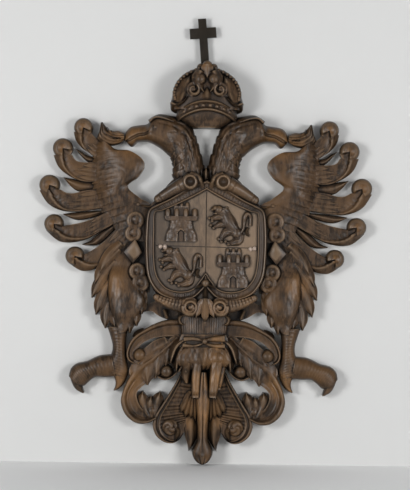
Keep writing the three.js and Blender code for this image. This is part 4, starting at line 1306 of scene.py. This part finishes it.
def piece(net, name, node, material, sharp=48, second=None, second_places=()):
    """A finished piece for a node of the model, with a second material near some places."""
    bmesh.ops.dissolve_degenerate(net, edges=net.edges, dist=2e-5)
    bmesh.ops.triangulate(net, faces=net.faces)
    mesh = mesh_of(net, name)
    mesh.shade_smooth()
    mesh.set_sharp_from_angle(angle=radians(sharp))
    mesh.materials.append(material)
    if second:
        mesh.materials.append(second)
        for face in mesh.polygons:
            for x, z, radius in second_places:
                if (face.center.x - x) ** 2 + (face.center.z - z) ** 2 < radius ** 2:
                    face.material_index = 1
    thing = added(name, mesh)
    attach(thing, "root")
    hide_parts(node)
    print(name, len(mesh.polygons), "triangles")


# Materials

class Value:
    """A number from a shader node, so that sums on it are written as sums."""

    def __init__(self, shader, socket):
        self.shader = shader
        self.socket = socket

    def _with(self, operation, first, second):
        made = self.shader.node("ShaderNodeMath", {0: first, 1: second}, operation=operation)
        return Value(self.shader, made.outputs[0])

    def __add__(self, other):
        return self._with("ADD", self, other)

    def __sub__(self, other):
        return self._with("SUBTRACT", self, other)

    def __mul__(self, other):
        return self._with("MULTIPLY", self, other)

    def __truediv__(self, other):
        return self._with("DIVIDE", self, other)

    def __rsub__(self, other):
        return self._with("SUBTRACT", other, self)

    __radd__ = __add__
    __rmul__ = __mul__

    def between(self, low, high):
        """0 up to low, 1 from high on, and smooth between them."""
        made = self.shader.node("ShaderNodeMapRange", {"Value": self, "From Min": low, "From Max": high},
                                interpolation_type="SMOOTHSTEP")
        return Value(self.shader, made.outputs["Result"])


class Shader:
    """One material and the nodes that make it."""

    def __init__(self, name):
        self.material = bpy.data.materials.new(name)
        self.material.use_nodes = True
        self.tree = self.material.node_tree
        self.surface = self.tree.nodes["Principled BSDF"]
        found = self.node("ShaderNodeTexCoord").outputs
        self.place = found["Object"]
        self.x, self.y, self.z = self.apart(self.place)
        self.to_front = 0 - self.apart(found["Normal"])[1]

    def node(self, kind, inputs=(), **settings):
        """A new node with its inputs and settings."""
        made = self.tree.nodes.new(kind)
        for name, value in settings.items():
            setattr(made, name, value)
        self.feed(made, inputs)
        return made

    def feed(self, node, inputs):
        """Sets inputs of a node, or links them to what other nodes give."""
        for name, value in dict(inputs).items():
            value = getattr(value, "socket", value)
            if isinstance(value, bpy.types.NodeSocket):
                self.tree.links.new(value, node.inputs[name])
            elif node.inputs[name].type == "RGBA":
                node.inputs[name].default_value = (*value, 1)
            else:
                node.inputs[name].default_value = value

    def apart(self, vector):
        """The three values of a vector."""
        made = self.node("ShaderNodeSeparateXYZ", {0: vector})
        return [Value(self, made.outputs[axis]) for axis in "XYZ"]

    def noise(self, scale, stretch, detail, rough):
        """Cloudy variation between 0 and 1, stretched along the axes."""
        scaled = self.node("ShaderNodeMapping", {"Vector": self.place, "Scale": stretch})
        made = self.node("ShaderNodeTexNoise", {"Vector": scaled.outputs[0], "Scale": scale,
                                                "Detail": detail, "Roughness": rough})
        return Value(self, made.outputs["Fac"])

    def mixed(self, share, start, end):
        """A colour between two colours."""
        return self.node("ShaderNodeMix", {0: share, 6: start, 7: end}, data_type="RGBA").outputs[2]

    def hollow(self, distance):
        """1 in the open, falling to 0 deep in hollows of about this size in metres."""
        made = self.node("ShaderNodeAmbientOcclusion", {"Distance": distance}, samples=8)
        return Value(self, made.outputs["AO"])

    def pointed(self):
        """Above a half on convex edges and below it in creases."""
        return Value(self, self.node("ShaderNodeNewGeometry").outputs["Pointiness"])

    def near(self, out, up, radius):
        """1 at a place on the front, in squares, falling to 0 at a radius from it."""
        aside = self.x - out * SQUARE
        above = self.z - up * SQUARE
        reach = (aside * aside + above * above) / (radius * SQUARE) ** 2
        return 1 - reach.between(0, 1)

    def finish(self, colour, roughness, relief, depth, sheen):
        """Gives the surface its colour, roughness, fine relief and sheen."""
        bumps = self.node("ShaderNodeBump", {"Height": relief, "Strength": 0.25, "Distance": depth})
        self.feed(self.surface, {"Base Color": colour, "Roughness": roughness,
                                 "Normal": bumps.outputs[0], "Specular IOR Level": sheen})
        return self.material


def in_pairs(spots):
    """Each spot on both sides of the centre line."""
    return [(side * out, *rest) for out, *rest in spots for side in (-1, 1)]


# Worn spots and painted highlights on lit places, as places out and up, a radius, and how much brighter
# they are

WORN_AND_LIT_SPOTS = [
    *in_pairs([(78, 62, 26, 1.5), (94, -86, 17, 1.5), (63, 52, 16, 1.5)]),
    # worn spots on the knob and the lamb's legs; the stem's spot is painted light
    (0, 134, 8, 1.5), (0, -215, 26, 2.2), (-6.5, -182, 14, 2.5), (11, -180, 15, 2.5),
    (12, -160, 20, 1.3), (14, -142, 9, 2.6),
    # worn spots on the feet and painted highlights on the centres of the curls
    *in_pairs([(78, -186, 20, 1.8), *((*curl, 6, 1.35) for outer, vane, curl, radius in PLUMES)]),
]
# painted highlights on the volutes and the hanging flower
SHIELD_HIGHLIGHT_SPOTS = [
    (2, -111, 13, 1.5),
    *in_pairs([(42, -101, 14, 1.5), (15, -107, 12, 1.5)]),
]
HOLLOW_SIZES = [0.006, 0.018, 0.05]
PALER_TO_THE_RIGHT = 1.9
BARE_SHADE = 0.85
SAWN_SHADE = 0.62
HOLLOW_SHADE = 0.22


def shaded(colour, share):
    """A darker or brighter tone of a colour."""
    return tuple(share * part for part in colour)


def waxed_wood(name, deep, middle, warm, bare, gloss, sheen, worn_and_lit_places=(), field=None):
    """Old carved walnut: grain along Z, hollows dark with patina and painted shade, worn edges with
    painted highlights, and a raw sawn back.
    """
    wood = Shader(name)
    grain = wood.noise(30, (2.6, 2.6, 1), 5, 0.62)
    streaks = wood.noise(70, (1.5, 1.5, 0.6), 3, 0.6)
    pores = wood.noise(190, (1.6, 1.6, 0.4), 3, 0.6)
    blotches = wood.noise(9, (1, 1, 1), 3, 0.6)
    crease, openness, wide_open = (wood.hollow(size) for size in HOLLOW_SIZES)
    pointed = wood.pointed()
    level = wood.y.between(*FIELD_DEPTHS) if field else 0
    # convex edges, lighter as wear and as a painted highlight
    worn_edge_highlight = pointed.between(0.503, 0.57) * (1 - level)

    # The figure of the wood, and warm blotches over it
    figure = grain * 0.45 + streaks * 0.3 + pores * 0.25
    tone = figure.between(0.42, 0.59)
    colour = wood.mixed(tone, deep, middle)
    colour = wood.mixed(blotches.between(0.45, 0.68) * 0.8, colour, warm)

    # The paler field; worn spots and worn edges, partly wear and partly painted highlights
    if field:
        share = (figure + wood.x * PALER_TO_THE_RIGHT).between(0.25, 0.75)
        colour = wood.mixed(level, colour, wood.mixed(share, *field))
    # worn spots and painted highlights
    for out, up, radius, brighter in worn_and_lit_places:
        spot = wood.near(out, up, radius) * (tone * 0.5 + 0.5)
        colour = wood.mixed(spot, colour, shaded(warm, brighter))
    # worn edges, partly a painted highlight
    colour = wood.mixed(worn_edge_highlight * openness * 0.75, colour, shaded(bare, BARE_SHADE))

    # Painted shade: darker on sides turned away from the front, in grooves and creases, and in hollows,
    # which also stand for dark patina
    # painted shade on sides that turn away from the front
    facing_light = wood.to_front.between(0.2, 0.97) * 0.72 + 0.28
    # painted shade in grooves, none on the flat field
    groove_light = 1 - (1 - pointed.between(0.44, 0.497)) * 0.6 * (1 - level)
    # painted shade in creases and hollows, partly dark patina
    light = crease.between(0.25, 0.95) * openness.between(0.1, 0.85) * facing_light * groove_light * (
        wide_open.between(0, 0.75) * 0.6 + 0.4)
    colour = wood.mixed(1 - light, colour, shaded(deep, HOLLOW_SHADE))

    # The raw back
    raw = wood.y.between(-0.0015, -0.0004)
    saw_marks = wood.noise(60, (0.25, 1, 3), 2, 0.5)
    raw_colour = wood.mixed(saw_marks.between(0.3, 0.7), bare, shaded(bare, SAWN_SHADE))
    colour = wood.mixed(raw, colour, raw_colour)
    roughness = gloss + (1 - openness) * 0.35 + (blotches - 0.5) * 0.3 + raw * 0.35
    relief = grain * 0.45 + streaks * 0.35 + pores * 0.2
    return wood.finish(colour, roughness, relief, 0.001, sheen)


def pin_heads_painted_glint():
    """The pale heads of the small pins in the shield, their paleness partly a painted glint."""
    pins = Shader("pin_heads_painted_glint")
    spots = pins.noise(300, (1, 1, 1), 2, 0.5)
    # pale colour, partly a painted glint on the pin heads
    colour = pins.mixed(spots.between(0.35, 0.65), (0.3, 0.22, 0.17), (0.5, 0.4, 0.33))
    return pins.finish(colour, spots * 0.2 + 0.25, spots, 0.0004, 0.5)


BARE_WALNUT = (0.2, 0.13, 0.075)


def build_pieces():
    """The three carved pieces."""
    walnut = waxed_wood("waxed_walnut", (0.02, 0.0115, 0.006), (0.078, 0.044, 0.0225),
                        (0.1, 0.051, 0.019), BARE_WALNUT, 0.37, 0.26, WORN_AND_LIT_SPOTS)
    grey_walnut = waxed_wood("grey_walnut", (0.03, 0.0185, 0.0115), (0.082, 0.051, 0.031),
                             (0.115, 0.064, 0.03), BARE_WALNUT, 0.35, 0.33, SHIELD_HIGHLIGHT_SPOTS,
                             field=[(0.076, 0.055, 0.039), (0.205, 0.141, 0.091)])
    blackened = waxed_wood("blackened_wood", (0.009, 0.007, 0.005), (0.018, 0.0145, 0.01),
                           (0.02, 0.015, 0.01), (0.03, 0.024, 0.018), 0.55, 0.1)

    side = joined([*wing(), *head(), *collar(), *leg(), *tail_side()])
    whole = joined([side, mirrored(side), breast(), *crown(), *tail_middle()])
    eagle = cut_away(whole, [behind(0), cross_body(FIT_GAP * MM), seat()])
    piece(eagle, "carved_eagle", "eagle", walnut)

    frame_inner = beside(line(*SHIELD_FIELD), lambda share: -FRAME_OVER_FIELD)
    frame_half = strip(line(*SHIELD_OUTER), frame_inner, frame_height, along=0.0013)
    panel = joined([shield_field(), *both_sides([frame_half]), *shield_ornament()])
    scored = cut_away(panel, [scored_line(*ends) for ends in QUARTER_LINES])
    charges = [*(part for place in CASTLES for part in castle(*place)),
               *(part for place in LIONS for part in lion(*place)),
               *(ball(place, PIN_RADIUS, FIELD_HEIGHT + PIN_CREST) for place in PINS)]
    shield = cut_away(joined([scored, *charges]), [behind(SEAT_HEIGHT + FIT_GAP)])
    moved(shield, (SHIELD_SHIFT * MM, 0, 0))
    pin_places = [(x * SQUARE + SHIELD_SHIFT * MM, z * SQUARE, PIN_RADIUS * SQUARE) for x, z in PINS]
    piece(shield, "carved_shield", "shield", grey_walnut, second=pin_heads_painted_glint(),
          second_places=pin_places)

    cross = cross_body(0, CROSS_SOFT)
    piece(cross, "flat_cross", "cross", blackened, sharp=30)


def seat():
    """The flat seat cut for the shield, as wide as its outline and its scrolls need."""
    outline = line(*SHIELD_OUTER)
    half = [
        strip(beside(outline, lambda share: 1.0), line(*SHIELD_FIELD), flat(ABOVE_ALL), PLAIN, PLAIN),
        tapered([(13, 19.6), (31, 11), (50.5, -1.2)], 7.4, 3.4, ABOVE_ALL, ABOVE_ALL,
                along=PLAIN, across=PLAIN),
        tapered([(11, -105), (26, -104.5), (38, -101), (49, -97)], 8.8, 3, ABOVE_ALL, ABOVE_ALL,
                along=PLAIN, across=PLAIN),
        disc((18, 17), 7.6, flat(ABOVE_ALL)),
        disc((15, -107), 9.4, flat(ABOVE_ALL)),
        leaf((3, -103), (8, -116.5), 3.6, ABOVE_ALL, ABOVE_ALL),
    ]
    middle = leaf((0, -99), (0, -121.5), 5.4, ABOVE_ALL, ABOVE_ALL)
    waste = joined([shield_field(), *both_sides(half), middle])
    return moved(cut_away(waste, [behind(SEAT_HEIGHT)]), (SHIELD_SHIFT * MM, 0, 0))


def cross_body(gap, soft=0.0):
    """The plain cross with its tenon, leaning to the viewer's left."""
    half = CROSS_WIDTH / 2 + gap
    arm = CROSS_ARM_LENGTH / 2
    foot = -CROSS_TENON - gap
    arms_top = CROSS_ARMS_UP + CROSS_ARM_HEIGHT
    right = [(half, foot), (half, CROSS_ARMS_UP), (arm, CROSS_ARMS_UP), (arm, arms_top),
             (half, arms_top), (half, CROSS_ABOVE)]
    outline = right + [(-x, z) for x, z in reversed(right)]
    net = prism(outline, -CROSS_BACK + gap, CROSS_THICKNESS + 2 * gap)
    if soft:
        soften(net, net.edges[:], soft, 2)
    bmesh.ops.rotate(net, verts=net.verts, cent=(0, 0, 0), matrix=Matrix.Rotation(-CROSS_LEAN, 3, "Y"))
    return moved(net, (CROSS_OFFSET, 0, CROSS_UP))


# The room: a pale wall and floor, soft lights, and the camera

PHOTO_HEIGHT = 490
PHOTO_PIXEL = 0.00225
PHOTO_MIDDLE = -0.101
CAMERA_AWAY = 5.0
CARVED_FRONT = 0.045
CAMERA_ROLL = radians(0.75)
WALL_BEHIND = 0.004
FLOOR_LEVEL = -0.598
ROOM = 6


def stage_paint(name, colour):
    """Plain matt paint that isn't there when seen from behind."""
    paint = Shader(name)
    facing = paint.node("ShaderNodeNewGeometry").outputs["Backfacing"]
    clear = paint.node("ShaderNodeBsdfTransparent").outputs[0]
    seen = paint.node("ShaderNodeMixShader", {0: facing, 1: paint.surface.outputs[0], 2: clear})
    paint.feed(paint.surface, {"Base Color": colour, "Roughness": 0.9, "Specular IOR Level": 0.1})
    paint.feed(paint.tree.nodes["Material Output"], {"Surface": seen.outputs[0]})
    return paint.material


def stage_plane(name, matrix, colour):
    net = bmesh.new()
    bmesh.ops.create_grid(net, x_segments=1, y_segments=1, size=ROOM / 2)
    bmesh.ops.transform(net, verts=net.verts, matrix=matrix)
    mesh = mesh_of(net, name)
    mesh.materials.append(stage_paint(name + "_paint", colour))
    thing = added(name, mesh)
    return thing


def area_light(name, place, size, power):
    """A light that points at the middle of the carving."""
    lamp = bpy.data.lights.new(name, "AREA")
    lamp.shape = "RECTANGLE"
    lamp.size, lamp.size_y = size
    lamp.energy = power
    thing = added(name, lamp)
    thing.location = place
    aim = Vector((0, 0, PHOTO_MIDDLE)) - Vector(place)
    thing.rotation_euler = aim.to_track_quat("-Z", "Y").to_euler()


def build_room():
    upright = Matrix.Rotation(pi / 2, 4, "X")
    wall_place = Matrix.Translation((0, WALL_BEHIND, ROOM / 2 + FLOOR_LEVEL)) @ upright
    wall = stage_plane("wall", wall_place, (0.61, 0.61, 0.6))
    # so that the light behind the wall reaches the back of the carving
    wall.visible_shadow = False
    floor_place = Matrix.Translation((0, WALL_BEHIND - ROOM / 2, FLOOR_LEVEL))
    stage_plane("floor", floor_place, (0.85, 0.85, 0.84))
    area_light("left_softbox", (-1.75, -2.85, 0.1), (0.9, 0.9), 54)
    area_light("right_softbox", (1.75, -2.85, 0.05), (0.9, 0.9), 46)
    area_light("top_softbox", (0, -2.6, 1.6), (1.6, 0.8), 3)
    area_light("back_fill", (0.6, 2.4, 0.8), (2, 2), 14)
    world = bpy.data.worlds.new("room")
    world.use_nodes = True
    background = world.node_tree.nodes["Background"].inputs
    background["Color"].default_value = (0.9, 0.93, 1, 1)
    background["Strength"].default_value = 0.22
    bpy.context.scene.world = world


def build_camera():
    lens = bpy.data.cameras.new("camera")
    lens.sensor_fit = "VERTICAL"
    lens.angle_y = 2 * atan(PHOTO_HEIGHT * PHOTO_PIXEL / 2 / (CAMERA_AWAY - CARVED_FRONT))
    lens.clip_end = 50
    thing = added("camera", lens)
    turn = Matrix.Rotation(pi / 2, 4, "X") @ Matrix.Rotation(CAMERA_ROLL, 4, "Z")
    thing.matrix_world = Matrix.Translation((0, -CAMERA_AWAY, PHOTO_MIDDLE)) @ turn
    bpy.context.scene.camera = thing


build_camera()
build_pieces()
build_room()
bpy.context.scene.view_settings.view_transform = "Standard"
